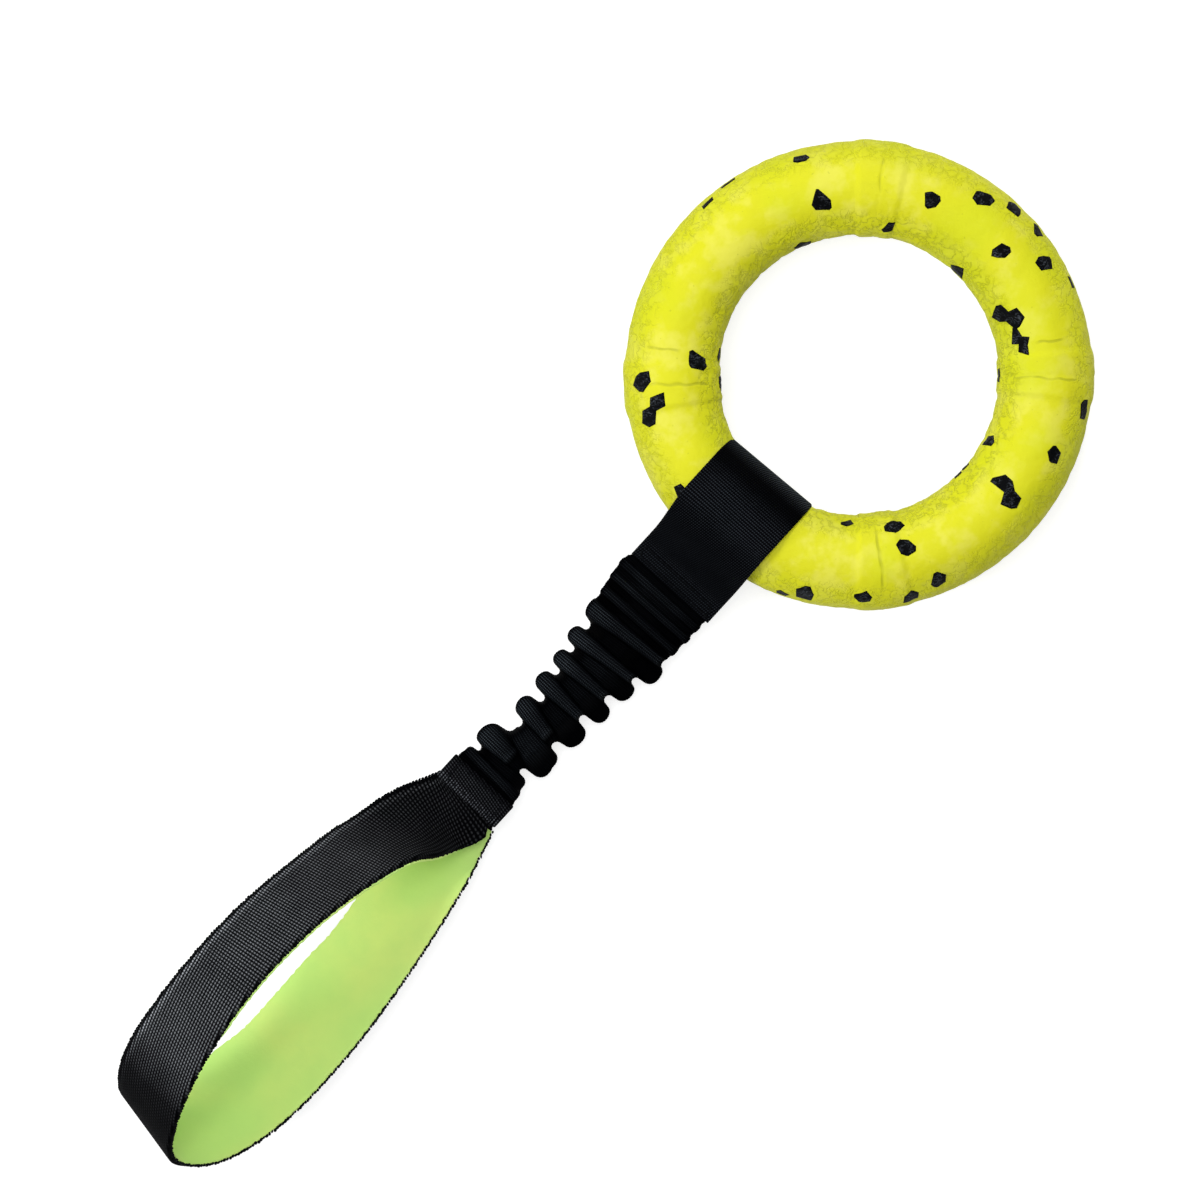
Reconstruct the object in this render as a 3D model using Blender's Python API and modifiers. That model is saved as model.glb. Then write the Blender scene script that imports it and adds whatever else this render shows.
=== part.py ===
"""Dog tug toy: a bead-foam ring held by a webbing eye, a gathered bungee sleeve and a padded loop handle.

Row frame: +X runs from the handle towards the ring, +Z is up, and the origin lies at the bottom centre
of the whole toy, which lies on the floor. All lengths are metres.
"""

import math

import bmesh
import bpy
from mathutils import Vector

MM = 0.001

# Driving dimensions of the whole toy
OVERALL_LENGTH = 381.0 * MM
RING_OUTER_DIAMETER = 139.7 * MM
FIT_GAP = 0.3 * MM
RING_END_X = OVERALL_LENGTH / 2
HANDLE_END_X = -OVERALL_LENGTH / 2

# Foam ring: a round tube with four slightly proud bands where the mould parts meet
TUBE_RADIUS = 14.0 * MM
BAND_RISE = 0.6 * MM
BAND_HALF_ANGLE = math.radians(6.6)
BAND_EDGE_ANGLE = math.radians(2.4)
BAND_ANGLES = [math.radians(a) for a in (36.5, 135.8, 228.8, 312.0)]
BAND_RADIUS = TUBE_RADIUS + BAND_RISE
RING_RADIUS = RING_OUTER_DIAMETER / 2 - TUBE_RADIUS
RING_SEGMENTS = 96
TUBE_SEGMENTS = 20

# Webbing eye round the ring's tube
WEBBING = 1.5 * MM
STRAP_WIDTH = 30.8 * MM
STRAP_Y = -1.4 * MM
STRAP_END_X = 35.5 * MM
STRAP_SEWN_X = 43.0 * MM
EYE_RADIUS = BAND_RADIUS + FIT_GAP
EYE_FLAT = 6.0 * MM

# The tube lies on the strap's lower run, and the ring's far side leans on the floor
EYE_Z = WEBBING + EYE_RADIUS
LEAN_SPAN = RING_RADIUS * (1 + math.cos(BAND_ANGLES[0]))
FLOOR_EASE = 0.05 * MM
RING_LEAN = math.asin((EYE_Z - BAND_RADIUS - FLOOR_EASE) / LEAN_SPAN)
RING_X = RING_END_X - (RING_RADIUS + TUBE_RADIUS)
EYE_X = RING_X - RING_RADIUS * math.cos(RING_LEAN)
RING_Z = EYE_Z - RING_RADIUS * math.sin(RING_LEAN)

# Bungee: a gathered webbing sleeve over a flat elastic
SLEEVE_Z = 8.6 * MM
SLEEVE_FLAT = 4.6 * MM
SLEEVE_RING_END = 43.0 * MM
SLEEVE_HANDLE_END = -53.0 * MM
ELASTIC_Y = -0.7 * MM
BORE_WIDTH = 6.8 * MM
BORE_HEIGHT = 3.0 * MM
ELASTIC_WIDTH = 6.0 * MM
ELASTIC_THICKNESS = 2.4 * MM

# Folds of the gathered sleeve in millimetres. Each has its place on the +Y edge and on the -Y edge, its reach
# to +Y and to -Y, its lift from -1 for low to 1 for high, its half height and its flatness. A high fold is a
# lobe on the +Y side and a neck on the -Y side, and a low one the other way round.
FOLDS = [
    (43.0, 43.0, 13.2, 16.0, 0.0, 2.3, 1.0),
    (35.4, 35.4, 13.2, 16.0, 0.0, 2.3, 1.0),
    (34.2, 34.2, 14.6, 15.8, 0.0, 2.6, 0.8),
    (32.2, 32.4, 15.1, 16.2, 0.2, 2.9, 0.4),
    (29.6, 29.6, 14.6, 15.7, -0.1, 2.8, 0.3),
    (27.4, 27.9, 14.5, 16.3, 0.4, 3.2, 0.15),
    (25.0, 25.2, 13.9, 15.6, -0.35, 3.3, 0.0),
    (22.2, 22.4, 13.6, 15.9, 0.45, 3.6, 0.0),
    (19.6, 20.0, 12.8, 15.2, -0.4, 3.8, 0.0),
    (16.6, 18.0, 13.4, 14.8, 0.9, 4.9, 0.0),
    (10.5, 12.8, 8.4, 16.8, -1.0, 4.9, 0.0),
    (6.3, 8.1, 12.2, 11.6, 1.0, 4.9, 0.0),
    (2.3, 3.8, 7.2, 14.2, -0.85, 4.9, 0.0),
    (-1.8, -1.3, 10.7, 9.2, 1.0, 4.9, 0.0),
    (-5.6, -6.3, 5.9, 13.4, -1.0, 4.9, 0.0),
    (-10.2, -10.7, 10.1, 7.6, 1.0, 4.9, 0.0),
    (-14.6, -16.0, 3.8, 12.5, -1.0, 4.9, 0.0),
    (-19.2, -22.3, 9.4, 7.0, 1.0, 4.9, 0.0),
    (-24.0, -26.8, 3.7, 11.2, -0.75, 4.9, 0.0),
    (-27.4, -29.9, 4.4, 11.6, -0.8, 4.9, 0.0),
    (-33.8, -34.6, 11.9, 5.2, 1.0, 4.2, 0.0),
    (-38.3, -37.6, 7.8, 9.1, -0.7, 3.4, 0.0),
    (-41.4, -41.0, 10.9, 10.1, 0.2, 2.6, 0.4),
    (-43.0, -43.0, 10.9, 9.7, 0.0, 2.3, 1.0),
    (-53.0, -53.0, 10.9, 9.7, 0.0, 2.3, 1.0),
]
FOLD_FULLNESS = 0.7
FOLD_CREASE = 0.5
LIFT_MIDDLE = 1.1
LIFT_EDGE = 4.0
EDGE_HALF = 2.0
EDGE_FROM = 3.0
EDGE_RUN = 6.5
STATION_STEP = 1.7
SLEEVE_SIDES = 20

# Axes of the two joints that bend the bungee
LIFT_PIVOT = Vector((23.0, 0.0, 8.6)) * MM
SWAY_PIVOT = Vector((-31.0, 0.0, 8.6)) * MM

# Handle: a webbing loop lined with a soft pad, lying on its lower leg with the upper leg leaning over
LINING = 2.4 * MM
JUNCTION_Y = 0.6 * MM
SEWN_END_X = -44.6 * MM
MOUTH_X = -56.0 * MM
LOOP_END_Y = 4.5 * MM
LOOP_END_Z = 27.0 * MM
LOOP_SPREAD_Y = (43.6 * MM, 6.6 * MM)
LOOP_SPREAD_Z = (59.3 * MM, 42.9 * MM)
LOOP_END_OVERHANG = 2.38 * MM
LOOP_SHAPE_Y = (0.975, -0.2, 0.575, 0.09)
LOOP_SHAPE_Z = (1.1, 0.0, 0.55, 0.0)
LOOP_TILT = (math.radians(37.0), math.radians(21.0))
TILT_RAMP = 0.18
LOOP_SKEW = 0.14
BAND_HALF_WIDTH = 14.4 * MM
BAND_HALF_SEWN = 10.4 * MM
WIDTH_RAMP = 0.2
LEG_OFFSET = SLEEVE_FLAT / 2 + FIT_GAP + WEBBING / 2
LOOP_STATIONS = 84
LINING_START_X = -60.5 * MM
EDGE_THREAD = 0.6 * MM

# Short keeper of webbing sewn round the junction
WRAP_THICKNESS = 1.0 * MM
WRAP_FROM_X = -52.6 * MM
WRAP_TO_X = -44.0 * MM
WRAP_CORNER = 1.0 * MM

THREAD = 0.35 * MM

BLACK_WEBBING = (0.012, 0.012, 0.013, 1.0)
BLACK_THREAD = (0.008, 0.008, 0.009, 1.0)
FOAM_YELLOW = (0.74, 0.83, 0.012, 1.0)
LINING_GREEN = (0.41, 0.67, 0.15, 1.0)
ELASTIC_GREY = (0.05, 0.05, 0.05, 1.0)


def clear_scene():
    """Remove every object that the file starts with."""
    for obj in list(bpy.data.objects):
        bpy.data.objects.remove(obj, do_unlink=True)


def new_collection(name):
    """Make a collection under the scene."""
    collection = bpy.data.collections.new(name)
    bpy.context.scene.collection.children.link(collection)
    return collection


def new_material(name, colour, roughness):
    """Make a Principled material of one colour."""
    material = bpy.data.materials.new(name)
    material.use_nodes = True
    shader = material.node_tree.nodes["Principled BSDF"]
    shader.inputs["Base Color"].default_value = colour
    shader.inputs["Roughness"].default_value = roughness
    shader.inputs["Metallic"].default_value = 0.0
    material.diffuse_color = colour
    return material


def webbing_material(name):
    """Make the black webbing's material for one piece."""
    return new_material(name, BLACK_WEBBING, 0.75)


def thread_material(name):
    """Make the black thread's material for one piece."""
    return new_material(name, BLACK_THREAD, 0.6)


def smoothstep(value):
    """Ease from 0 to 1 as value goes from 0 to 1."""
    value = min(max(value, 0.0), 1.0)
    return value * value * (3 - 2 * value)


def mesh_object(name, mesh_data, collection, material, origin=Vector((0, 0, 0))):
    """Turn a bmesh given in world coordinates into a smooth object with its origin at one point."""
    bmesh.ops.translate(mesh_data, verts=mesh_data.verts, vec=-origin)
    mesh = bpy.data.meshes.new(name)
    mesh_data.to_mesh(mesh)
    mesh_data.free()
    mesh.materials.append(material)
    mesh.shade_smooth()
    mesh.set_sharp_from_angle(angle=math.radians(40))
    obj = bpy.data.objects.new(name, mesh)
    obj.location = origin
    collection.objects.link(obj)
    return obj


def add_thickness(obj, thickness):
    """Give an open surface its thickness, half to each side."""
    solid = obj.modifiers.new("thickness", "SOLIDIFY")
    solid.thickness = thickness
    solid.offset = 0.0
    solid.use_even_offset = True
    return solid


def ribbon_surface(place, steps, columns, cyclic=False):
    """Grid surface whose point at (step, column) comes from place(along, across), across from -1 to 1."""
    surface = bmesh.new()
    rows = []
    for step in range(steps if cyclic else steps + 1):
        along = step / steps
        row = [surface.verts.new(place(along, 2 * c / columns - 1)) for c in range(columns + 1)]
        rows.append(row)
    if cyclic:
        rows.append(rows[0])
    for row, following in zip(rows, rows[1:]):
        for c in range(columns):
            surface.faces.new((row[c], row[c + 1], following[c + 1], following[c]))
    return surface


def thread_object(name, run, radius, closed, collection, material, origin=Vector((0, 0, 0))):
    """A thread as a round curve along one run of points, with its origin at one point."""
    curve = bpy.data.curves.new(name, "CURVE")
    curve.dimensions = "3D"
    curve.bevel_depth = radius
    curve.bevel_resolution = 1
    curve.use_fill_caps = not closed
    spline = curve.splines.new("POLY")
    spline.points.add(len(run) - 1)
    for point, place in zip(spline.points, run):
        point.co = (*(place - origin), 1.0)
    spline.use_cyclic_u = closed
    curve.materials.append(material)
    obj = bpy.data.objects.new(name, curve)
    obj.location = origin
    collection.objects.link(obj)
    return obj


def band_share(angle):
    """How much of the band's rise the tube has at an angle round the ring, from 0 to 1."""
    share = 0.0
    for centre in BAND_ANGLES:
        away = abs((angle - centre + math.pi) % (2 * math.pi) - math.pi)
        share = max(share, 1 - smoothstep((away - BAND_HALF_ANGLE) / BAND_EDGE_ANGLE + 0.5))
    return share


def build_ring(collection, material):
    """The foam ring: a torus whose tube swells at the four mould bands, turned about its own axis."""
    lean = bpy.data.objects.new("ring_axis", None)
    lean.location = (RING_X, 0.0, RING_Z)
    lean.rotation_euler = (0.0, RING_LEAN, 0.0)
    collection.objects.link(lean)
    bpy.ops.mesh.primitive_torus_add(
        major_segments=RING_SEGMENTS,
        minor_segments=TUBE_SEGMENTS,
        major_radius=RING_RADIUS,
        minor_radius=TUBE_RADIUS,
    )
    ring = bpy.context.object
    ring.name = "foam_ring"
    ring.data.name = "foam_ring"
    for owner in list(ring.users_collection):
        owner.objects.unlink(ring)
    collection.objects.link(ring)
    ring.parent = lean
    for vertex in ring.data.vertices:
        angle = math.atan2(vertex.co.y, vertex.co.x)
        core = Vector((math.cos(angle), math.sin(angle), 0.0)) * RING_RADIUS
        radius = TUBE_RADIUS + BAND_RISE * band_share(angle)
        vertex.co = core + (vertex.co - core).normalized() * radius
    ring.data.materials.append(material)
    ring.data.shade_smooth()
    return ring


def eye_path():
    """Mid-surface of the strap in the XZ plane at the ring's middle, from the upper sewn end to the lower.

    Each point is (x, z, slide), where slide is the share of the ring's own curve that the point follows.
    """
    radius = EYE_RADIUS + WEBBING / 2
    high = SLEEVE_Z + LEG_OFFSET
    low = SLEEVE_Z - LEG_OFFSET
    to_eye = Vector((EYE_X - STRAP_SEWN_X, EYE_Z - high))
    reach = to_eye.length
    leave = math.atan2(to_eye.y, to_eye.x) + math.asin(radius / reach)
    start_angle = leave + math.pi / 2
    points = [(STRAP_END_X, high, 0.0), (STRAP_SEWN_X - 2 * MM, high, 0.0)]
    points.append((STRAP_SEWN_X, high + 0.3 * MM, 0.0))
    run_length = math.sqrt(reach * reach - radius * radius)
    for share in (0.2, 0.4, 0.6, 0.8):
        x = STRAP_SEWN_X + share * run_length * math.cos(leave)
        points.append((x, high + share * run_length * math.sin(leave), 0.0))
    steps = 26
    end_angle = -math.pi / 2
    for step in range(steps + 1):
        angle = start_angle + (end_angle - start_angle) * step / steps
        slide = smoothstep((math.radians(112) - abs(angle)) / math.radians(36))
        points.append((EYE_X + radius * math.cos(angle), EYE_Z + radius * math.sin(angle), slide))
    floor_z = EYE_Z - radius
    points.append((EYE_X - EYE_FLAT, floor_z, 0.0))
    for share in (0.25, 0.5, 0.75):
        x = EYE_X - EYE_FLAT + (STRAP_SEWN_X - EYE_X + EYE_FLAT) * share
        points.append((x, floor_z + (low - floor_z) * share, 0.0))
    points.append((STRAP_SEWN_X, low - 0.2 * MM, 0.0))
    points.append((STRAP_SEWN_X - 2 * MM, low, 0.0))
    points.append((STRAP_END_X, low, 0.0))
    return points


def build_strap(collection, material):
    """The webbing eye: one strap that follows the ring's inner curve, with both ends over the sleeve."""
    path = eye_path()
    steps = len(path) - 1

    def place(along, across):
        x, z, slide = path[round(along * steps)]
        y = STRAP_Y + across * STRAP_WIDTH / 2
        from_axis = RING_X - x
        bulge = from_axis - math.sqrt(from_axis**2 - y**2)
        return Vector((x + slide * bulge, y, z))

    surface = ribbon_surface(place, steps, 6)
    strap = mesh_object("ring_strap", surface, collection, material, LIFT_PIVOT)
    add_thickness(strap, WEBBING)
    return strap


def mix(start, end, share):
    """Value between start and end."""
    return start + (end - start) * share


def edge_turn(start, end, share):
    """Point (x, reach) of the sleeve's edge between two folds: an arc, a steep flank and an arc.

    The lobe, which reaches further, takes the larger part of the run.
    """
    run = end[0] - start[0]
    drop = end[1] - start[1]
    first = 0.5 + min(max(-drop / 3, -1.0), 1.0) * (FOLD_FULLNESS - 0.5)
    leave = min(share / 0.4, 1.0) * math.pi / 2
    enter = max((share - 0.6) / 0.4, 0.0) * math.pi / 2
    flank = min(max((share - 0.4) / 0.2, 0.0), 1.0)
    slope = abs(run / drop) if drop else 1.0
    round_out = min(first * slope, 0.5)
    round_in = min((1 - first) * slope, 0.5)
    x = 0.96 * (first * math.sin(leave) + (1 - first) * (1 - math.cos(enter))) + 0.04 * flank
    fall = round_out * (1 - math.cos(leave)) + (1 - round_out - round_in) * flank
    fall += round_in * math.sin(enter)
    return start[0] + run * x, start[1] + drop * fall


def sleeve_stations():
    """Sections along the sleeve: (+Y edge, -Y edge, lift, half height, flatness, crease) in millimetres."""
    stations = []
    for here, there in zip(FOLDS, FOLDS[1:]):
        run = max(abs(here[0] - there[0]), abs(here[1] - there[1]))
        rise = max(abs(here[2] - there[2]), abs(here[3] - there[3]), abs(here[4] - there[4]) * LIFT_EDGE)
        steps = max(round((run + rise) / STATION_STEP), 2)
        depth = FOLD_CREASE * min(abs(here[4] - there[4]) / 1.2, 1.0)
        for step in range(steps):
            share = step / steps
            left = edge_turn((here[0], here[2]), (there[0], there[2]), share)
            right = edge_turn((here[1], here[3]), (there[1], there[3]), share)
            fall = smoothstep((share - 0.12) / 0.76)
            lift, height, flat = (mix(here[item], there[item], fall) for item in (4, 5, 6))
            crease = depth * math.exp(-(((share - 0.5) / 0.17) ** 2))
            stations.append((left, right, lift, height, flat, crease))
    left_x, right_x, left, right, lift, height, flat = FOLDS[-1]
    stations.append(((left_x, left), (right_x, right), lift, height, flat, 0.0))
    return stations


def sleeve_point(station, turn):
    """Point of the sleeve's surface at one station, turn radians round its section."""
    left, right, lift, height, flat, crease = station
    side = math.cos(turn)
    rise = math.sin(turn)
    x = mix(left[0], right[0], (1 - side) / 2)
    middle_y = ELASTIC_Y / MM
    reach = left[1] - middle_y if side > 0 else right[1] + middle_y
    off = math.copysign(abs(side) ** (1 - 0.5 * flat), side) * reach
    far = smoothstep((abs(off) - EDGE_FROM) / EDGE_RUN)
    middle = lift * mix(LIFT_MIDDLE, LIFT_EDGE, far)
    half = mix(height, min(EDGE_HALF, height), far * (1 - flat)) * (1 - crease * (1 - far))
    bow = (abs(rise) * math.sqrt(1 + side * side)) ** (1 - 0.6 * flat)
    z = middle + half * math.copysign(bow, rise)
    return Vector((x * MM, (middle_y + off) * MM, SLEEVE_Z + z * MM))


def build_sleeve(collection, cutters, material):
    """The gathered sleeve: a loft of unlike sections that follows each fold, bored for its elastic."""
    body = bmesh.new()
    turns = [2 * math.pi * corner / SLEEVE_SIDES for corner in range(SLEEVE_SIDES)]
    rings = []
    for station in sleeve_stations():
        rings.append([body.verts.new(sleeve_point(station, turn)) for turn in turns])
    for ring, following in zip(rings, rings[1:]):
        for corner in range(SLEEVE_SIDES):
            beside = (corner + 1) % SLEEVE_SIDES
            body.faces.new((ring[corner], ring[beside], following[beside], following[corner]))
    body.faces.new(rings[0])
    body.faces.new(list(reversed(rings[-1])))
    bmesh.ops.recalc_face_normals(body, faces=body.faces)
    sleeve = mesh_object("bungee_sleeve", body, collection, material, SWAY_PIVOT)

    bore = bmesh.new()
    bmesh.ops.create_cube(bore, size=1.0)
    length = SLEEVE_RING_END - SLEEVE_HANDLE_END
    bmesh.ops.scale(bore, vec=(length + 4 * MM, BORE_WIDTH, BORE_HEIGHT), verts=bore.verts)
    centre = Vector(((SLEEVE_RING_END + SLEEVE_HANDLE_END) / 2, ELASTIC_Y, SLEEVE_Z))
    bmesh.ops.translate(bore, vec=centre, verts=bore.verts)
    cutter = mesh_object("sleeve_bore", bore, cutters, material)
    cutter.hide_render = True
    cutter.display_type = "WIRE"
    cut = sleeve.modifiers.new("bore", "BOOLEAN")
    cut.operation = "DIFFERENCE"
    cut.object = cutter
    return sleeve


def build_elastic(collection, material):
    """The flat elastic that runs through the sleeve and is sewn in at both ends."""
    strip = bmesh.new()
    bmesh.ops.create_cube(strip, size=1.0)
    length = SLEEVE_RING_END - SLEEVE_HANDLE_END - 1.0 * MM
    bmesh.ops.scale(strip, vec=(length, ELASTIC_WIDTH, ELASTIC_THICKNESS), verts=strip.verts)
    centre = Vector(((SLEEVE_RING_END + SLEEVE_HANDLE_END) / 2, ELASTIC_Y, SLEEVE_Z))
    bmesh.ops.translate(strip, vec=centre, verts=strip.verts)
    elastic = mesh_object("elastic_core", strip, collection, material, SWAY_PIVOT)
    rounding = elastic.modifiers.new("rounding", "BEVEL")
    rounding.width = 0.6 * MM
    rounding.segments = 2
    return elastic


def loop_spread(turn, shape, spread):
    """Signed distance of a leg from the loop's middle line; turn goes from 0 to pi round the loop."""
    along = math.sin(turn) ** 2
    lean = math.cos(turn)
    rise, rise_lean, fall, fall_lean = shape
    size, size_lean = spread
    curve = along ** (rise + rise_lean * lean) * (1 - along) ** (fall + fall_lean * lean)
    return math.copysign((size + size_lean * lean) * curve, lean)


def loop_centre(turn):
    """Mid-surface point of the handle webbing at turn, from the upper sewn end round to the lower."""
    along = math.sin(turn) ** 2
    reach = MOUTH_X - HANDLE_END_X - LOOP_END_OVERHANG
    x = MOUTH_X - reach * along
    y = JUNCTION_Y + (LOOP_END_Y - JUNCTION_Y) * along + loop_spread(turn, LOOP_SHAPE_Y, LOOP_SPREAD_Y)
    z = SLEEVE_Z + LEG_OFFSET * math.cos(turn) + (LOOP_END_Z - SLEEVE_Z) * along
    z += loop_spread(turn, LOOP_SHAPE_Z, LOOP_SPREAD_Z)
    return Vector((x, y, z))


def loop_frames():
    """Evenly spaced frames round the handle: (centre, width direction, outward direction, half width)."""
    fine = 400
    samples = []
    for step in range(8):
        x = SEWN_END_X + (MOUTH_X - SEWN_END_X) * step / 8
        samples.append((Vector((x, JUNCTION_Y, SLEEVE_Z + LEG_OFFSET)), 0.0))
    for step in range(1, fine):
        turn = math.pi * step / fine
        samples.append((loop_centre(turn), turn))
    for step in range(8, -1, -1):
        x = SEWN_END_X + (MOUTH_X - SEWN_END_X) * step / 8
        samples.append((Vector((x, JUNCTION_Y, SLEEVE_Z - LEG_OFFSET)), math.pi))
    lengths = [0.0]
    for (here, _), (there, _) in zip(samples, samples[1:]):
        lengths.append(lengths[-1] + (there - here).length)
    centres, turns = [], []
    index = 0
    for station in range(LOOP_STATIONS + 1):
        target = lengths[-1] * station / LOOP_STATIONS
        while index < len(samples) - 2 and lengths[index + 1] < target:
            index += 1
        share = (target - lengths[index]) / (lengths[index + 1] - lengths[index])
        centres.append(samples[index][0].lerp(samples[index + 1][0], share))
        turns.append(samples[index][1] + (samples[index + 1][1] - samples[index][1]) * share)
    inner = [(a + 2 * b + c) / 4 for a, b, c in zip(centres, centres[1:], centres[2:])]
    centres = [centres[0], *inner, centres[-1]]
    frames = []
    for station, (centre, turn) in enumerate(zip(centres, turns)):
        before = centres[max(station - 1, 0)]
        after = centres[min(station + 1, LOOP_STATIONS)]
        tangent = (after - before).normalized()
        along = math.sin(turn) ** 2
        tilt = (LOOP_TILT[0] + LOOP_TILT[1] * math.cos(turn)) * smoothstep(along / TILT_RAMP)
        width = Vector((LOOP_SKEW * along * along, math.cos(tilt), -math.sin(tilt)))
        width = (width - tangent * width.dot(tangent)).normalized()
        outward = width.cross(tangent).normalized()
        half = BAND_HALF_SEWN + (BAND_HALF_WIDTH - BAND_HALF_SEWN) * smoothstep(along / WIDTH_RAMP)
        frames.append((centre, width, outward, half))
    return frames


def band_surface(frames, offset):
    """Surface of a band that lies offset inwards from the handle's mid-surface."""
    def place(along, across):
        centre, width, outward, half = frames[round(along * (len(frames) - 1))]
        return centre + width * (half * across) - outward * offset

    return ribbon_surface(place, len(frames) - 1, 4)


def build_handle(collection):
    """The handle's webbing loop, its soft lining and the threads that bind their two edges."""
    frames = loop_frames()
    outer = band_surface(frames, 0.0)
    webbing = mesh_object("handle_webbing", outer, collection, webbing_material("handle_webbing"))
    add_thickness(webbing, WEBBING)
    lined = [frame for frame in frames if frame[0].x < LINING_START_X]
    inset = WEBBING / 2 + FIT_GAP + LINING / 2
    green = new_material("handle_lining", LINING_GREEN, 0.85)
    lining = mesh_object("handle_lining", band_surface(lined, inset), collection, green)
    add_thickness(lining, LINING)
    seam = WEBBING / 2 + FIT_GAP / 2
    for name, side in (("handle_edge_seam_left", 1), ("handle_edge_seam_right", -1)):
        run = []
        for centre, width, outward, half in lined:
            run.append(centre + width * side * (half + FIT_GAP + EDGE_THREAD) - outward * seam)
        thread_object(name, run, EDGE_THREAD, False, collection, thread_material(name))


def build_wrap(collection, material):
    """The keeper of webbing that is folded round the sewn junction of handle and bungee."""
    half_y = BAND_HALF_SEWN + FIT_GAP + WRAP_THICKNESS / 2
    half_z = LEG_OFFSET + WEBBING / 2 + FIT_GAP + WRAP_THICKNESS / 2
    outline = []
    corner_steps = 4
    for quarter in range(4):
        middle_y = (half_y - WRAP_CORNER) * (1 if quarter in (0, 3) else -1)
        middle_z = (half_z - WRAP_CORNER) * (1 if quarter in (0, 1) else -1)
        for step in range(corner_steps + 1):
            angle = math.pi / 2 * (quarter + step / corner_steps)
            y = JUNCTION_Y + middle_y + WRAP_CORNER * math.cos(angle)
            outline.append((y, SLEEVE_Z + middle_z + WRAP_CORNER * math.sin(angle)))
    steps = len(outline)

    def place(along, across):
        y, z = outline[round(along * steps)]
        x = (WRAP_FROM_X + WRAP_TO_X) / 2 + across * (WRAP_TO_X - WRAP_FROM_X) / 2
        return Vector((x, y, z))

    surface = ribbon_surface(place, steps, 2, cyclic=True)
    wrap = mesh_object("junction_wrap", surface, collection, material)
    add_thickness(wrap, WRAP_THICKNESS)
    return wrap


def stitch_box(from_x, to_x, middle_y, half_y, z):
    """Corners of a stitched rectangle at height z."""
    return [
        Vector((from_x, middle_y - half_y, z)),
        Vector((to_x, middle_y - half_y, z)),
        Vector((to_x, middle_y + half_y, z)),
        Vector((from_x, middle_y + half_y, z)),
    ]


def build_stitching(collection):
    """The box stitches on the upper and lower faces of the two sewn ends."""
    stand_off = FIT_GAP + THREAD
    ring_rise = LEG_OFFSET + WEBBING / 2 + stand_off
    wrap_rise = ring_rise + FIT_GAP + WRAP_THICKNESS
    ring_box = (STRAP_END_X + 1.2 * MM, STRAP_SEWN_X - 3 * MM, STRAP_Y, STRAP_WIDTH / 2 - 2 * MM)
    wrap_box = (WRAP_FROM_X + 1.5 * MM, WRAP_TO_X - 1.5 * MM, JUNCTION_Y, BAND_HALF_SEWN - 1.5 * MM)
    for face, side in (("upper", 1), ("lower", -1)):
        ring_run = stitch_box(*ring_box, SLEEVE_Z + side * ring_rise)
        name = f"ring_end_stitch_{face}"
        thread_object(name, ring_run, THREAD, True, collection, thread_material(name), LIFT_PIVOT)
        wrap_run = stitch_box(*wrap_box, SLEEVE_Z + side * wrap_rise)
        name = f"junction_stitch_{face}"
        thread_object(name, wrap_run, THREAD, True, collection, thread_material(name))


def main():
    """Build the whole toy."""
    clear_scene()
    parts = new_collection("dog_tug_toy")
    cutters = new_collection("cutters")
    build_ring(parts, new_material("foam_ring", FOAM_YELLOW, 0.45))
    build_strap(parts, webbing_material("ring_strap"))
    build_sleeve(parts, cutters, webbing_material("bungee_sleeve"))
    build_elastic(parts, new_material("elastic_core", ELASTIC_GREY, 0.7))
    build_handle(parts)
    build_wrap(parts, webbing_material("junction_wrap"))
    build_stitching(parts)


main()
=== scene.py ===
"""Looks of a dog tug toy: a bead-foam ring, a webbing eye, a gathered bungee sleeve and a lined loop handle.

Lengths are metres in the row frame: +X runs from the handle towards the ring, and +Z is up.
"""

import logging
import math
from collections.abc import Callable
from dataclasses import dataclass, field
from enum import Enum

import bpy
import numpy as np
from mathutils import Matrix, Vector
from mathutils.bvhtree import BVHTree


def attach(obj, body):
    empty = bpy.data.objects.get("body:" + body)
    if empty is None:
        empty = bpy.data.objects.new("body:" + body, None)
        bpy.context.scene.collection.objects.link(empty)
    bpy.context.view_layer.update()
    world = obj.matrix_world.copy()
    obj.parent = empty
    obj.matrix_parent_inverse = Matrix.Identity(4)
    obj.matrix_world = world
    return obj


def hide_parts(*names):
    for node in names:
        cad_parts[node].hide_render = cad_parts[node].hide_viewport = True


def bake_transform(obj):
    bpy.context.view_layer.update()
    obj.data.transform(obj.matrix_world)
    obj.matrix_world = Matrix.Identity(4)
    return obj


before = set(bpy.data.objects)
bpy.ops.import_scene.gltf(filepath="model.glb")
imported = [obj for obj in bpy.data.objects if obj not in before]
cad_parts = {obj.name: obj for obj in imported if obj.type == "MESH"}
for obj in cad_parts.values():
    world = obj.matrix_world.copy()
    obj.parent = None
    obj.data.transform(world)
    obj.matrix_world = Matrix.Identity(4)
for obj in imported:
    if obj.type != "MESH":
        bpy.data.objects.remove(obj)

MM = 0.001
LOG = logging.getLogger("tug_toy")

Array = np.ndarray
Material = bpy.types.Material
Mesh = bpy.types.Mesh
Node = bpy.types.Node
Piece = bpy.types.Object
Socket = bpy.types.NodeSocket
Colour = tuple[float, float, float, float]
Feed = Socket | Material | float | int | str | tuple
Feeds = dict[str | int, Feed] | None
Table = tuple[tuple[float, float], ...]


class Body(Enum):
    """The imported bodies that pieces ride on."""

    HANDLE = "handle"
    SLEEVE = "sleeve"
    ELASTIC = "elastic"
    STRAP = "strap"
    RING = "ring"


class Slot(Enum):
    """The record's material slots."""

    FOAM = "ring_foam"
    STRAP = "strap_webbing"
    SLEEVE = "sleeve_webbing"
    ELASTIC = "elastic"
    HANDLE = "handle_webbing"
    LINING = "lining"
    THREAD = "thread"
    WRAP = "wrap_webbing"


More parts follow.
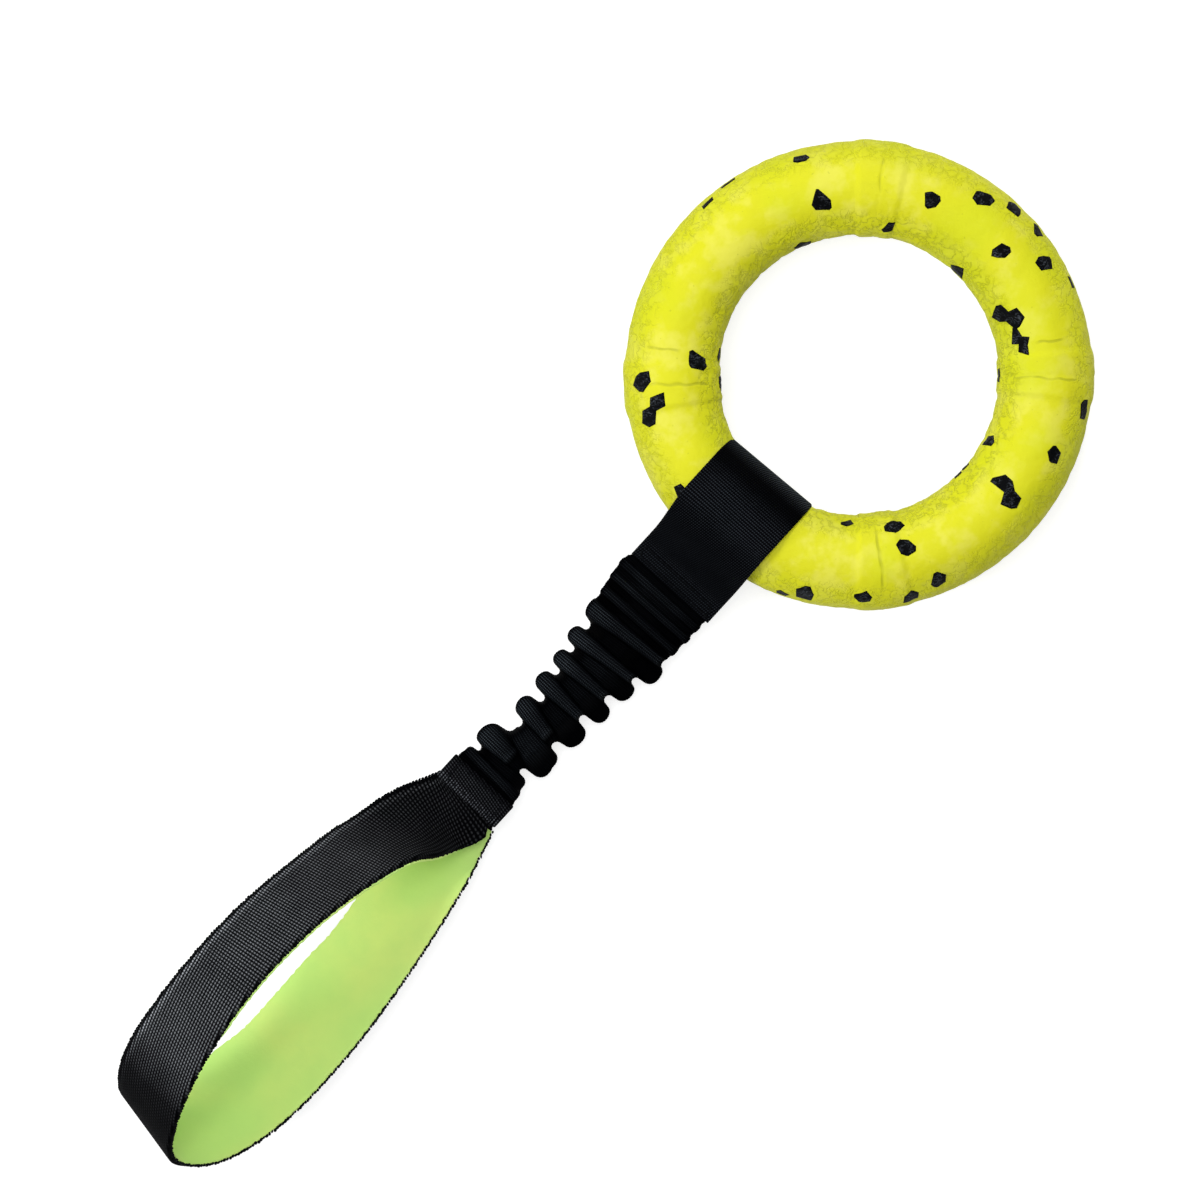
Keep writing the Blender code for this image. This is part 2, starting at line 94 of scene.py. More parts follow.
def paint(*levels: int) -> Colour:
    """Turn the red, green and blue seen on a screen, 0 to 255, into the linear colour that shaders take."""
    shares = (level / 255 for level in levels)
    return *(part / 12.92 if part <= 0.04045 else ((part + 0.055) / 1.055) ** 2.4 for part in shares), 1.0


def ease(value: Array | float) -> Array | float:
    """Ease from 0 to 1 as value goes from 0 to 1."""
    value = np.clip(value, 0.0, 1.0)
    return value * value * (3 - 2 * value)


def hump(off: Array, spread: float) -> Array:
    """Swell of 1 in the middle, which dies away over its spread."""
    return np.exp(-((off / spread) ** 2))


class Graph:
    """Builds one node tree, of a material or of Geometry Nodes, a node at a time."""

    def __init__(self, tree: bpy.types.NodeTree) -> None:
        """Start on an emptied tree."""
        self.tree = tree
        tree.nodes.clear()

    def add(self, kind: str, feeds: Feeds = None, **options: object) -> Node:
        """Add a node.

        Args:
            kind: the node's type name.
            feeds: what goes into each input, by the input's name or number.
            options: the node's own settings.

        Returns:
            The new node.
        """
        node = self.tree.nodes.new(kind)
        for name, value in options.items():
            setattr(node, name, value)
        for key, value in (feeds or {}).items():
            self.feed(node.inputs[key], value)
        return node

    def out(self, kind: str, feeds: Feeds = None, end: int | str = 0, **options: object) -> Socket:
        """Add a node and take the output named or numbered end."""
        return self.add(kind, feeds, **options).outputs[end]

    def feed(self, socket: Socket, value: Feed) -> None:
        """Put a value or another node's output into a socket.

        Args:
            socket: the input.
            value: what goes into it.
        """
        if isinstance(value, Socket):
            self.tree.links.new(value, socket)
        else:
            socket.default_value = value

    def maths(self, operation: str, *values: Feed) -> Socket:
        """Work out one sum on numbers."""
        return self.out("ShaderNodeMath", dict(enumerate(values)), operation=operation)

    def times(self, first: Feed, second: Feed) -> Socket:
        """Multiply two numbers."""
        return self.maths("MULTIPLY", first, second)

    def scaled(self, value: Feed, gain: Feed, start: Feed) -> Socket:
        """Multiply a number by its gain and add where it starts."""
        return self.maths("MULTIPLY_ADD", value, gain, start)

    def size(self, value: Feed) -> Socket:
        """A number without its sign."""
        return self.maths("ABSOLUTE", value)

    def vector(self, operation: str, *values: Feed) -> Socket:
        """Work out one sum on vectors; SCALE takes its number second.

        Args:
            operation: the sum's name.
            values: what goes in, in order.

        Returns:
            The vector, or the number of a dot product or length.
        """
        feeds = dict(zip((0, "Scale") if operation == "SCALE" else (0, 1, 2), values))
        end = "Value" if operation in ("DOT_PRODUCT", "LENGTH") else "Vector"
        return self.out("ShaderNodeVectorMath", feeds, end, operation=operation)

    def ramp(self, value: Feed, low: Feed, high: Feed, start: Feed = 0.0, end: Feed = 1.0) -> Socket:
        """Ease from start to end as value goes from low to high."""
        feeds = {"Value": value, "From Min": low, "From Max": high, "To Min": start, "To Max": end}
        return self.out("ShaderNodeMapRange", feeds, "Result", interpolation_type="SMOOTHSTEP")

    def blend(self, share: Feed, first: Feed, second: Feed, clamp: bool = True) -> Socket:
        """Mix two colours."""
        feeds = {0: share, 6: first, 7: second}
        return self.out("ShaderNodeMix", feeds, 2, data_type="RGBA", clamp_factor=clamp)

    def noise(self, place: Feed, scale: Feed, detail: float = 2.0, rough: float = 0.5) -> Socket:
        """Soft random pattern from 0 to 1, scale in patches for each metre."""
        feeds = {"Vector": place, "Scale": scale, "Detail": detail, "Roughness": rough}
        return self.out("ShaderNodeTexNoise", feeds)

    def from_line(self, flat: Feed, angle: float) -> tuple[Socket, Socket]:
        """How far flat lies aside of a line at an angle from the middle, and how far ahead along it.

        Args:
            flat: the place, with no height.
            angle: the line's angle, in radians.

        Returns:
            Both distances.
        """
        cos, sin = math.cos(angle), math.sin(angle)
        aside = self.vector("DOT_PRODUCT", flat, (-sin, cos, 0.0))
        return aside, self.vector("DOT_PRODUCT", flat, (cos, sin, 0.0))


def linked(name: str, data: bpy.types.ID) -> Piece:
    """Make an object and put it in the scene.

    Args:
        name: the object's name.
        data: its mesh, light or camera.

    Returns:
        The object.
    """
    piece = bpy.data.objects.new(name, data)
    bpy.context.scene.collection.objects.link(piece)
    return piece


class ShapeTree(Graph):
    """A Geometry Nodes tree with named inputs, which is run once and leaves a plain mesh."""

    KINDS = {float: "Float", int: "Int", str: "String", tuple: "Vector"}

    def __init__(self, name: str, **sizes: float | int | str | tuple) -> None:
        """Start a tree whose inputs are the base mesh, the sizes, with _ for each space, and the finish.

        Args:
            name: the tree's name.
            sizes: the inputs' names and usual values.
        """
        super().__init__(bpy.data.node_groups.new(name, "GeometryNodeTree"))
        fresh = self.tree.interface.new_socket
        fresh("Geometry", in_out="INPUT", socket_type="NodeSocketGeometry")
        for size, value in sizes.items():
            kind = f"NodeSocket{self.KINDS[type(value)]}"
            fresh(size.replace("_", " "), in_out="INPUT", socket_type=kind).default_value = value
        fresh("Finish", in_out="INPUT", socket_type="NodeSocketMaterial")
        fresh("Geometry", in_out="OUTPUT", socket_type="NodeSocketGeometry")
        self.given = self.add("NodeGroupInput").outputs

    def attribute(self, name: Feed, kind: str = "FLOAT") -> Socket:
        """Read a named attribute of the base mesh."""
        return self.out("GeometryNodeInputNamedAttribute", {"Name": name}, "Attribute", data_type=kind)

    def close(self, geometry: Socket) -> None:
        """End the tree in real geometry with its finish on it.

        Args:
            geometry: the finished shape.
        """
        real = self.out("GeometryNodeRealizeInstances", {"Geometry": geometry})
        dressed = self.out("GeometryNodeSetMaterial", {"Geometry": real, "Material": self.given["Finish"]})
        self.add("NodeGroupOutput", {0: dressed})

    def run(self, name: str, base: Mesh, finish: Material, **sizes: Feed) -> Piece:
        """Run the tree on a base mesh.

        Args:
            name: the piece's name.
            base: the mesh that the tree starts from.
            finish: the material that the piece gets.
            sizes: values of the named inputs, with _ for each space.

        Returns:
            An object with the finished mesh and no modifier.
        """
        piece = linked(name, base)
        modifier = piece.modifiers.new("shape", "NODES")
        modifier.node_group = self.tree
        items = self.tree.interface.items_tree
        inputs = {item.name: item.identifier for item in items if item.in_out == "INPUT"}
        for size, value in {"Finish": finish, **sizes}.items():
            modifier[inputs[size.replace("_", " ")]] = value
        depsgraph = bpy.context.evaluated_depsgraph_get()
        shaped = piece.evaluated_get(depsgraph)
        shaped = bpy.data.meshes.new_from_object(shaped, preserve_all_data_layers=True, depsgraph=depsgraph)
        piece.modifiers.clear()
        piece.data = shaped
        shaped.name = name
        shaped.shade_smooth()
        return piece


class Surface(Graph):
    """A material's tree, which ends in one Principled shader."""

    def __init__(self, name: str) -> None:
        """Start the material, with its shader and the piece's Object coordinates.

        Args:
            name: the material's name.
        """
        self.material = bpy.data.materials.new(name)
        self.material.use_nodes = True
        super().__init__(self.material.node_tree)
        self.shader = self.add("ShaderNodeBsdfPrincipled")
        self.add("ShaderNodeOutputMaterial", {"Surface": self.shader.outputs[0]})
        self.place = self.out("ShaderNodeTexCoord", end="Object")

    def own(self, name: str) -> Socket:
        """Read one of the piece's own attributes."""
        return self.out("ShaderNodeAttribute", end="Fac", attribute_name=name)

    def finish(
        self, colour: Feed, height: Feed, depth: float, rough: Feed, shine: float, **more: Feed
    ) -> Material:
        """Feed the shader.

        Args:
            colour: the base colour.
            height: the relief, about 0 to 1.
            depth: how deep a relief of 1 is.
            rough: the roughness.
            shine: the specular level.
            more: the shader's other inputs, with _ for each space, and Strength, the relief's.

        Returns:
            The material.
        """
        bump = {"Height": height, "Distance": depth, "Strength": more.pop("Strength", 0.6)}
        more |= {"Base Color": colour, "Normal": self.out("ShaderNodeBump", bump)}
        for name, value in {**more, "Roughness": rough, "Specular IOR Level": shine}.items():
            self.feed(self.shader.inputs[name.replace("_", " ")], value)
        return self.material


@dataclass(frozen=True)
class WebbingFinish:
    """Woven nylon: ribs crossed by picks, with the yarns' tops painted lighter as their highlight and painted
    shade in the grooves between them; its tone and the lead of ribs over picks are taken from the piece.
    """

    name: str
    # crest is a painted highlight on the yarns' tops, and groove is painted shade between them.
    crest: Colour = paint(52, 57, 63)
    groove: Colour = paint(0, 0, 1)
    rib_pitch: float = 0.82
    pick_pitch: float = 0.7
    slant: float = 0.25
    roughness: float = 0.55
    shine: float = 0.01
    depth: float = 0.08 * MM

    def material(self) -> Material:
        """Build the material from the piece's own along and across, in millimetres, tone and grain.

        Returns:
            The material.
        """
        graph = Surface(self.name)
        along, across, tone, grain = (graph.own(name) for name in ("along", "across", "tone", "grain"))
        leaning = graph.scaled(along, self.slant, across)
        yarns = []
        ways = (along, self.rib_pitch, 4.0, 1.0), (leaning, self.pick_pitch, -4.0, 5.2)
        for way, pitch, gain, least in ways:
            wave = graph.size(graph.maths("SINE", graph.times(way, math.pi / pitch)))
            yarns.append(graph.maths("POWER", wave, graph.scaled(grain, gain, least)))
        fuzz = graph.noise(graph.place, 2600.0, 3.0, 0.6)
        wear = graph.ramp(graph.noise(graph.place, 70.0, 3.0, 0.6), 0.3, 0.72, 0.75, 1.1)
        relief = graph.times(*yarns)
        yarn_highlight = graph.scaled(graph.maths("SUBTRACT", fuzz, 0.5), 0.5, relief)
        # Share of painted highlight over painted shade (lit yarn tops, shaded grooves), with fuzz, scaled by
        # the piece's tone and by random wear.
        share = graph.times(graph.times(yarn_highlight, tone), wear)
        clear = graph.out("ShaderNodeClamp", {"Value": share, "Max": 4.0})
        colour = graph.blend(clear, self.groove, self.crest, clamp=False)
        rough = graph.scaled(fuzz, 0.2, self.roughness)
        return graph.finish(colour, relief, self.depth, rough, self.shine)


@dataclass(frozen=True)
class ThreadFinish:
    """Sewing thread with a fine twist."""

    name: str = "black_thread"
    light: Colour = paint(22, 24, 27)
    dark: Colour = paint(2, 3, 4)
    twists: float = 2400.0
    depth: float = 0.06 * MM

    def material(self) -> Material:
        """Build the material on Object coordinates.

        Returns:
            The material.
        """
        graph = Surface(self.name)
        turned = graph.out("ShaderNodeMapping", {"Vector": graph.place, "Rotation": (0.5, 0.3, 0.7)})
        feeds = {"Vector": turned, "Scale": self.twists, "Distortion": 2.0}
        wave = graph.out("ShaderNodeTexWave", feeds, "Fac")
        return graph.finish(graph.blend(wave, self.dark, self.light), wave, self.depth, 0.6, 0.02)


@dataclass(frozen=True)
class LiningFinish:
    """Soft lime-green lining: a short nap with yellower patches."""

    name: str = "lime_lining"
    green: Colour = paint(198, 237, 130)
    yellow: Colour = paint(216, 239, 133)
    shade: Colour = paint(189, 231, 128)
    sheen: Colour = paint(220, 240, 170)
    depth: float = 0.12 * MM

    def material(self) -> Material:
        """Build the material on Object coordinates.

        Returns:
            The material.
        """
        graph = Surface(self.name)
        patches = graph.ramp(graph.noise(graph.place, 26.0, 1.5, 0.5), 0.42, 0.66)
        cloudy = graph.ramp(graph.noise(graph.place, 95.0, 3.0, 0.6), 0.35, 0.8, 0.0, 0.35)
        colour = graph.blend(cloudy, graph.blend(patches, self.green, self.yellow), self.shade)
        nap = graph.noise(graph.place, 2200.0, 3.0, 0.7)
        height = graph.scaled(graph.noise(graph.place, 420.0, 2.0, 0.5), 1.5, nap)
        fabric = {"Strength": 0.5, "Sheen_Weight": 0.25, "Sheen_Tint": self.sheen}
        return graph.finish(colour, height, self.depth, 0.9, 0.2, **fabric)


@dataclass(frozen=True)
class RingPlace:
    """Where the ring lies: its centre, and how far it leans about Y."""

    x: float = 120.65 * MM
    z: float = 15.43 * MM
    lean: float = 0.0173714

    def to_row(self, points: Array) -> Array:
        """Turn points of the ring's own frame into the row frame.

        Args:
            points: points of the ring's frame.

        Returns:
            The same points in the row frame.
        """
        cos, sin = math.cos(self.lean), math.sin(self.lean)
        x, y, z = points[..., 0], points[..., 1], points[..., 2]
        return np.stack([self.x + cos * x + sin * z, y, self.z - sin * x + cos * z], axis=-1)

    def own(self, graph: Surface) -> Socket:
        """Object coordinates in the ring's own frame, for its materials."""
        feeds = {"Vector": graph.place, "Location": (self.x, 0.0, self.z), "Rotation": (0.0, self.lean, 0.0)}
        return graph.out("ShaderNodeMapping", feeds, vector_type="TEXTURE")


@dataclass(frozen=True)
class FoamFinish:
    """Moulded bead foam: yellow-green with soft pale clouds, bead seams on its sides, painted shade in the
    creases of its inner side, and fine mould lines.

    Each mould line crosses the tube at an angle, in degrees, between two distances from the ring's middle.
    """

    name: str = "bead_foam"
    body: Colour = paint(213, 212, 25)
    pale: Colour = paint(222, 219, 78)
    green: Colour = paint(203, 210, 17)
    flank: Colour = paint(199, 205, 22)
    # seam is the dark colour of the bead seams, specks and mould lines, and also the painted shade in the inner
    # side's creases.
    seam: Colour = paint(150, 153, 30)
    bead_size: float = 6.6 * MM
    seed: float = 3.7
    steep: tuple[float, float] = (9.5 * MM, 13.2 * MM)
    inner_side: tuple[float, float] = (45.0 * MM, 50.5 * MM)
    line_waver: float = 0.5 * MM
    line_half: tuple[float, float] = (0.1 * MM, 0.7 * MM)
    depth: float = 0.16 * MM
    lines: tuple[tuple[float, float, float], ...] = (
        (36.2, 54.5, 64.5), (135.8, 45, 63), (228.8, 46, 64), (311, 46, 64.8), (322.4, 53.5, 61.2),
        (125.2, 54.4, 63.4),
    )

    def material(self, place: RingPlace) -> Material:
        """Build the material, whose pattern lies in the ring's own frame.

        Args:
            place: where the ring lies.

        Returns:
            The material.
        """
        graph = Surface(self.name)
        own = place.own(graph)
        moved = graph.vector("ADD", own, (self.seed,) * 3)
        level = graph.out("ShaderNodeSeparateXYZ", {0: own}, 2)
        steep = graph.ramp(graph.size(level), *self.steep, 1.0, 0.0)
        flat = graph.vector("MULTIPLY", own, (1.0, 1.0, 0.0))
        reach = graph.vector("LENGTH", flat)
        feeds = {"Vector": moved, "Scale": 1 / self.bead_size}
        edges = graph.out("ShaderNodeTexVoronoi", feeds, "Distance", feature="DISTANCE_TO_EDGE")
        broken = graph.ramp(graph.noise(own, 130.0, 2.0, 0.6), 0.45, 0.65, 0.0, 0.16)
        rough = graph.size(graph.maths("SUBTRACT", graph.noise(moved, 330.0, 3.0, 0.6), 0.5))
        inside = graph.ramp(reach, *self.inner_side, 0.3, 0.0)
        line = self.mould_lines(graph, own, flat, reach)
        patchy = graph.ramp(graph.noise(own, 160.0, 1.0, 0.5), 0.35, 0.6, 0.12, 0.5)
        layers = (
            (graph.ramp(graph.noise(moved, 120.0, 3.0, 0.55), 0.44, 0.68, 0.0, 0.85), self.pale),
            (graph.ramp(graph.noise(own, 38.0, 1.0, 0.4), 0.5, 0.72, 0.0, 0.6), self.green),
            (graph.times(steep, 0.4), self.flank),
            (graph.times(graph.times(graph.ramp(edges, 0.0, 0.06, 1.0, 0.0), broken), steep), self.seam),
            # Painted shade in the creases of the ring's inner side.
            (graph.times(graph.ramp(rough, 0.0, 0.035, 1.0, 0.0), inside), self.seam),
            (graph.ramp(graph.noise(moved, 800.0, 1.0, 0.5), 0.74, 0.79, 0.0, 0.3), self.seam),
            (graph.times(line, patchy), self.seam),
        )
        colour: Feed = self.body
        for share, tint in layers:
            colour = graph.blend(share, colour, tint)
        wrinkle = graph.noise(own, 260.0, 3.0, 0.65)
        creased = graph.times(graph.ramp(rough, 0.0, 0.05, -5.0, 0.0), steep)
        swell = graph.scaled(graph.noise(moved, 170.0, 2.0, 0.5), 5.0, creased)
        height = graph.maths("ADD", graph.scaled(wrinkle, 1.6, graph.noise(own, 900.0, 3.0, 0.6)), swell)
        height = graph.scaled(line, -1.5, height)
        return graph.finish(colour, height, self.depth, graph.scaled(wrinkle, 0.2, 0.5), 0.2, Strength=0.5)

    def mould_lines(self, graph: Graph, own: Socket, flat: Socket, reach: Socket) -> Feed:
        """How strongly a mould line shows.

        Args:
            graph: the material's tree.
            own: the place in the ring's own frame.
            flat: the same with no height.
            reach: its distance from the ring's middle.

        Returns:
            From 0, no line, to 1.
        """
        noise = graph.noise(own, 120.0, 1.0, 0.5)
        bent = graph.ramp(noise, 0.3, 0.7, -self.line_waver, self.line_waver)
        shown: Feed = 0.0
        for angle, start, end in self.lines:
            aside, ahead = graph.from_line(flat, math.radians(angle))
            aside = graph.size(graph.maths("ADD", aside, bent))
            thin = graph.times(graph.ramp(aside, *self.line_half, 1.0, 0.0), graph.ramp(ahead, 0.0, 0.01))
            begun = graph.ramp(reach, (start - 1) * MM, (start + 1) * MM)
            ended = graph.ramp(reach, (end - 1) * MM, (end + 1) * MM, 1.0, 0.0)
            shown = graph.maths("MAXIMUM", shown, graph.times(thin, graph.times(begun, ended)))
        return shown


@dataclass(frozen=True)
class BeadFinish:
    """A black bead among the yellow ones: near-black skin with fine ridged lines, painted grey as their
    highlights.
    """

    name: str = "black_beads"
    dark: Colour = paint(3, 4, 6)
    ridge_highlight: Colour = paint(70, 75, 82)
    depth: float = 0.1 * MM

    def material(self, place: RingPlace) -> Material:
        """Build the material, whose pattern lies in the ring's own frame.

        Args:
            place: where the ring lies.

        Returns:
            The material.
        """
        graph = Surface(self.name)
        own = place.own(graph)
        feeds = {"Vector": own, "Scale": 420.0, "Distortion": 11.0, "Detail": 4.0, "Detail Scale": 2.2}
        lines = graph.out("ShaderNodeTexWave", feeds, "Fac", bands_direction="DIAGONAL")
        # Painted highlight along the ridged lines, kept off the bead's rim and broken up by noise.
        share = graph.times(graph.ramp(lines, 0.55, 0.95), graph.ramp(graph.own("inner"), 0.1, 0.5))
        share = graph.times(share, graph.ramp(graph.noise(own, 420.0, 2.0), 0.4, 0.68, 0.0, 0.75))
        return graph.finish(graph.blend(share, self.dark, self.ridge_highlight), lines, self.depth, 0.5, 0.04)


def loft(name: str, rows: Array, closed: bool = False, **values: Array) -> Mesh:
    """Skin rings of points into one closed mesh, with faces out.

    Args:
        name: the mesh's name.
        rows: points by station and corner, in metres.
        closed: whether the last station joins the first; otherwise both ends are capped.
        values: attributes by station and corner.

    Returns:
        The mesh.
    """
    index = np.arange(rows[..., 0].size).reshape(rows.shape[:2])
    here, there = (index, np.roll(index, -1, axis=0)) if closed else (index[:-1], index[1:])
    quads = np.stack([here, np.roll(here, -1, axis=1), np.roll(there, -1, axis=1), there], axis=-1)
    quads = quads.reshape(-1, 4)
    points = rows.reshape(-1, 3)
    spread = {key: np.broadcast_to(value, rows.shape[:2]).reshape(-1) for key, value in values.items()}
    faces = quads.tolist()
    for ring, turn in () if closed else ((index[0], 1), (index[-1], -1)):
        middle = len(points)
        points = np.vstack([points, points[ring].mean(axis=0)])
        spread = {key: np.append(value, value[ring].mean()) for key, value in spread.items()}
        faces += [[middle, int(b), int(a)] for a, b in zip(ring, np.roll(ring, -turn))]
    first, second, third, fourth = (points[quads[:, k]] for k in range(4))
    if (first * (np.cross(second, third) + np.cross(third, fourth))).sum() < 0:
        faces = [face[::-1] for face in faces]
    return plain_mesh(name, points.tolist(), [], faces, **spread)


def plain_mesh(name: str, points: list, edges: list, faces: list, **values: Array) -> Mesh:
    """Make a mesh of lists, with point attributes: numbers, or vectors where a value has rows.

    Args:
        name: the mesh's name.
        points: its points.
        edges: its loose edges.
        faces: its faces.
        values: its attributes.

    Returns:
        The mesh.
    """
    mesh = bpy.data.meshes.new(name)
    mesh.from_pydata(points, edges, faces)
    for key, value in values.items():
        kind, field_name = ("FLOAT", "value") if value.ndim == 1 else ("FLOAT_VECTOR", "vector")
        mesh.attributes.new(key, kind, "POINT").data.foreach_set(field_name, value.astype(np.float32).ravel())
    mesh.update()
    return mesh


def placed(name: str, mesh: Mesh, finish: Material) -> Piece:
    """Make a smooth object of a finished mesh.

    Args:
        name: the object's name.
        mesh: its mesh.
        finish: its material.

    Returns:
        The object.
    """
    mesh.materials.clear()
    mesh.materials.append(finish)
    mesh.shade_smooth()
    return linked(name, mesh)


def hand_over(piece: Piece, body: Body, slot: Slot, *nodes: str) -> None:
    """Tie a piece to its body, and hide the CAD nodes that it stands for."""
    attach(piece, body.value)
    dress(piece, slot, *nodes)


def dress(piece: Piece, slot: Slot, *nodes: str) -> None:
    """Hide the CAD nodes that a piece stands for, and report it.

    Args:
        piece: the piece.
        slot: the record's slot; it is not used.
        nodes: the CAD nodes, if it replaces any.
    """
    if nodes:
        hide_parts(*nodes)
    LOG.info("%s: %d faces", piece.name, len(piece.data.polygons))


@dataclass(frozen=True)
class BlackBead:
    """One black bead: its middle in degrees round the ring and over the tube, its corners in millimetres."""

    around: float
    over: float
    corners: Table


BLACK_BEADS = tuple(
    BlackBead(around, over, tuple(zip(outline[::2], outline[1::2])))
    for around, over, *outline in (
        (7.4, 54, 2.9, -0.7, 1.9, -1.6, -1.4, -2.8, -3.4, -1.8, -3.1, 0.9, 0.4, 3.2, 2.8, 2.2),
        (19.8, 90, 2.9, -1.5, 1.1, -2.6, -1.6, -2.2, -2.4, -0.9, -1.8, 1.4, 0.3, 2.9, 1.5, 2.4),
        (31.4, 142, 1.9, 1.3, 0.1, -2.3, -1.7, -2.5, -1.5, 1.4, 1.2, 2.4),
        (54.9, 104, 0.9, -4.1, 0.3, -4, -2.7, 0.1, -2.6, 2.6, -1.8, 3.2, 2.5, 2.2, 3.3, 0.3),
        (57.7, 41, 1.9, -1.9, -1.8, -1.8, -2.7, 0.2, -1.3, 1.4, 1.3, 1.3, 2.6, 0.3),
        (65.9, 170, 2.9, -1.2, 0.5, -3.4, -2.8, -0.6, -2.2, 2.4, 1.6, 2.6),
        (76.9, 17, -2.6, -0.8, -2.4, 0.7, 2.4, 0.9, 2.6, -0.6),
        (84.0, 27, -2.3, -0.9, -2, 1, 2.2, 1.2, 2, -0.7),
        (124.3, 164, 0.9, -1.6, -1.9, -0.5, -2, 0.5, 0.7, 1.8, 2.3, -0.2),
        (128.2, 120, -2.8, -2.6, -3.3, -1.7, -1.2, 3.4, 1.3, 3.7, 2.7, 2.4, 2, -1.9, 1.2, -2.5),
        (134.5, 50, 1, -3.4, -1.7, -1.9, -2.7, -0.5, -3.2, 2.8, 0.2, 3.4, 3.2, 0.7, 3, -0.9),
        (136.0, 170, -1.9, -1.8, -2.4, 1.2, 0.8, 2.3, 2.6, 0.3, 1.3, -2.2),
        (
            142.6, 60, 2.9, -4.8, -0.5, -3.2, -1.4, -0.2, -4, 0.3, -5.2, 4.7, -0.7, 4.6, 0.3, 1.4, 4.1,
            0.2, 4.6, -2.2,
        ),
        (165.8, 55, -2.3, -1.2, -2.1, 1.5, 0.7, 2.2, 2.1, -0.1, 1.8, -2.5),
        (202.9, 17, -1.7, 0.7, -0.6, 1.9, 2.5, 0.4, 1.4, -1.7, -1.5, -1.4),
        (208.7, 33, -3.2, 1.5, -0.7, 3.8, 0.9, 3.9, 2.5, 0.7, 2.1, -3.4, 0.7, -3.4, -2.5, -3.1),
        (217.5, 144, -1.8, 0.1, 1.2, 2.3, 2.2, 0.1, 0.1, -1.5, -1.7, -0.9),
        (223.2, 41, -2.5, 1, 1.2, 2.9, 2.9, 0.3, 2.2, -1.6, -1.1, -1.9, -2.6, -0.3),
        (234.8, 131, -2.8, 0.2, -1.8, 1.2, 0.8, 2.4, 2.6, 1.7, 3.5, -0.5, 0.3, -2.6, -2.7, -1.5),
        (235.6, 32, -2.1, 1.1, 0.3, 2.7, 2.5, 0.7, 1.9, -2.5, -2.7, -2.5),
        (237.4, 100, -2.9, 1.3, -1.3, 2.9, 1.2, 2.1, 2.9, -0.6, 2.4, -2, -0.2, -2.8, -2, -1.7),
        (243.3, 44, -0.7, 3.3, 0.7, 3.4, 2.9, 1.1, 2, -1.7, -0.8, -2.7, -1.9, -2, -2.5, -0.6),
        (267.1, 168, -1.5, -0.8, -1.2, 1.3, 1.4, 1.1, 1.3, -1),
        (271.6, 170, -1.4, -1, -1.3, 1.1, 1.5, 1.2, 1.2, -0.9),
        (
            273.8, 89, -0.9, 6.1, 0.6, 6.2, 3.9, 3.5, 3.5, 0.5, 1.5, -1.8, 1, -4.8, -1.9, -5.7, -3.1,
            -4.4, -4.2, -1, -0.8, 0.6,
        ),
        (285.4, 151, 1.1, 2.4, 2, -0.5, 0.2, -2.5, -1.2, -2.1, -2.1, 2.7),
        (289.8, 61, 0.1, 2.4, 2.5, 1.4, 2.8, 0.5, 1.4, -2.1, -2.1, -2.4, -2.5, -0.1, -2.2, 0.7),
        (303.7, 32, 1.5, 2.1, 2.7, 1.2, 2.9, -0.7, -0.6, -2.2, -3.1, -1.8, -3.1, 1.2),
        (312.2, 166, -2.2, -1, -1.8, 1.4, 1.9, 1.2, 2.2, -0.8),
        (
            324.4, 121, -0.8, 3.2, 1.9, 2.3, 4, 1.5, 4.9, 0.3, 0.9, -1.1, 0.3, -3.4, -1.9, -2.3, -4.9,
            -2.3, -3.5, 1.2, -1.2, 0.6,
        ),
        (
            333.8, 128, 1.7, 6.7, 4.4, 2.7, 4, 0.5, 1.2, -1, 1.3, -4, -2, -5.3, -4.1, -2.9, -4.5, -1.2,
            -1.4, 1.2, -0.8, 3.8,
        ),
        (336.0, 19, -2, -0.9, -1.7, 1.2, 2, 0.9, 1.8, -1.1),
        (343.7, 51, 2.3, 1.2, 1.7, -0.8, 0.5, -2.7, -0.5, -2.7, -3, -1.2, -1.8, 3, 1.3, 3.4),
        (351.4, 27, 2.4, -1.5, 1.4, -2.9, -2.5, -0.9, -1.4, 2.5, -0.1, 2.7),
        (353.2, 91, 2.4, 1.6, 1.9, -1.8, -0.6, -2.9, -1.9, -2.2, -2.1, 0.4, -0.5, 2.2, 1.1, 3.2),
        (359.2, 31, 2.9, -0.5, 1.1, -2.9, -1.4, -2.5, -2.4, 0.6, -2.4, 2.3, 2.2, 3.1),
        (359.4, 164, 2.4, -0.6, 1.7, -1.9, -1.2, -4.6, -3.1, 1.4, -1.1, 2.8, 1.3, 2.8),
    )
)


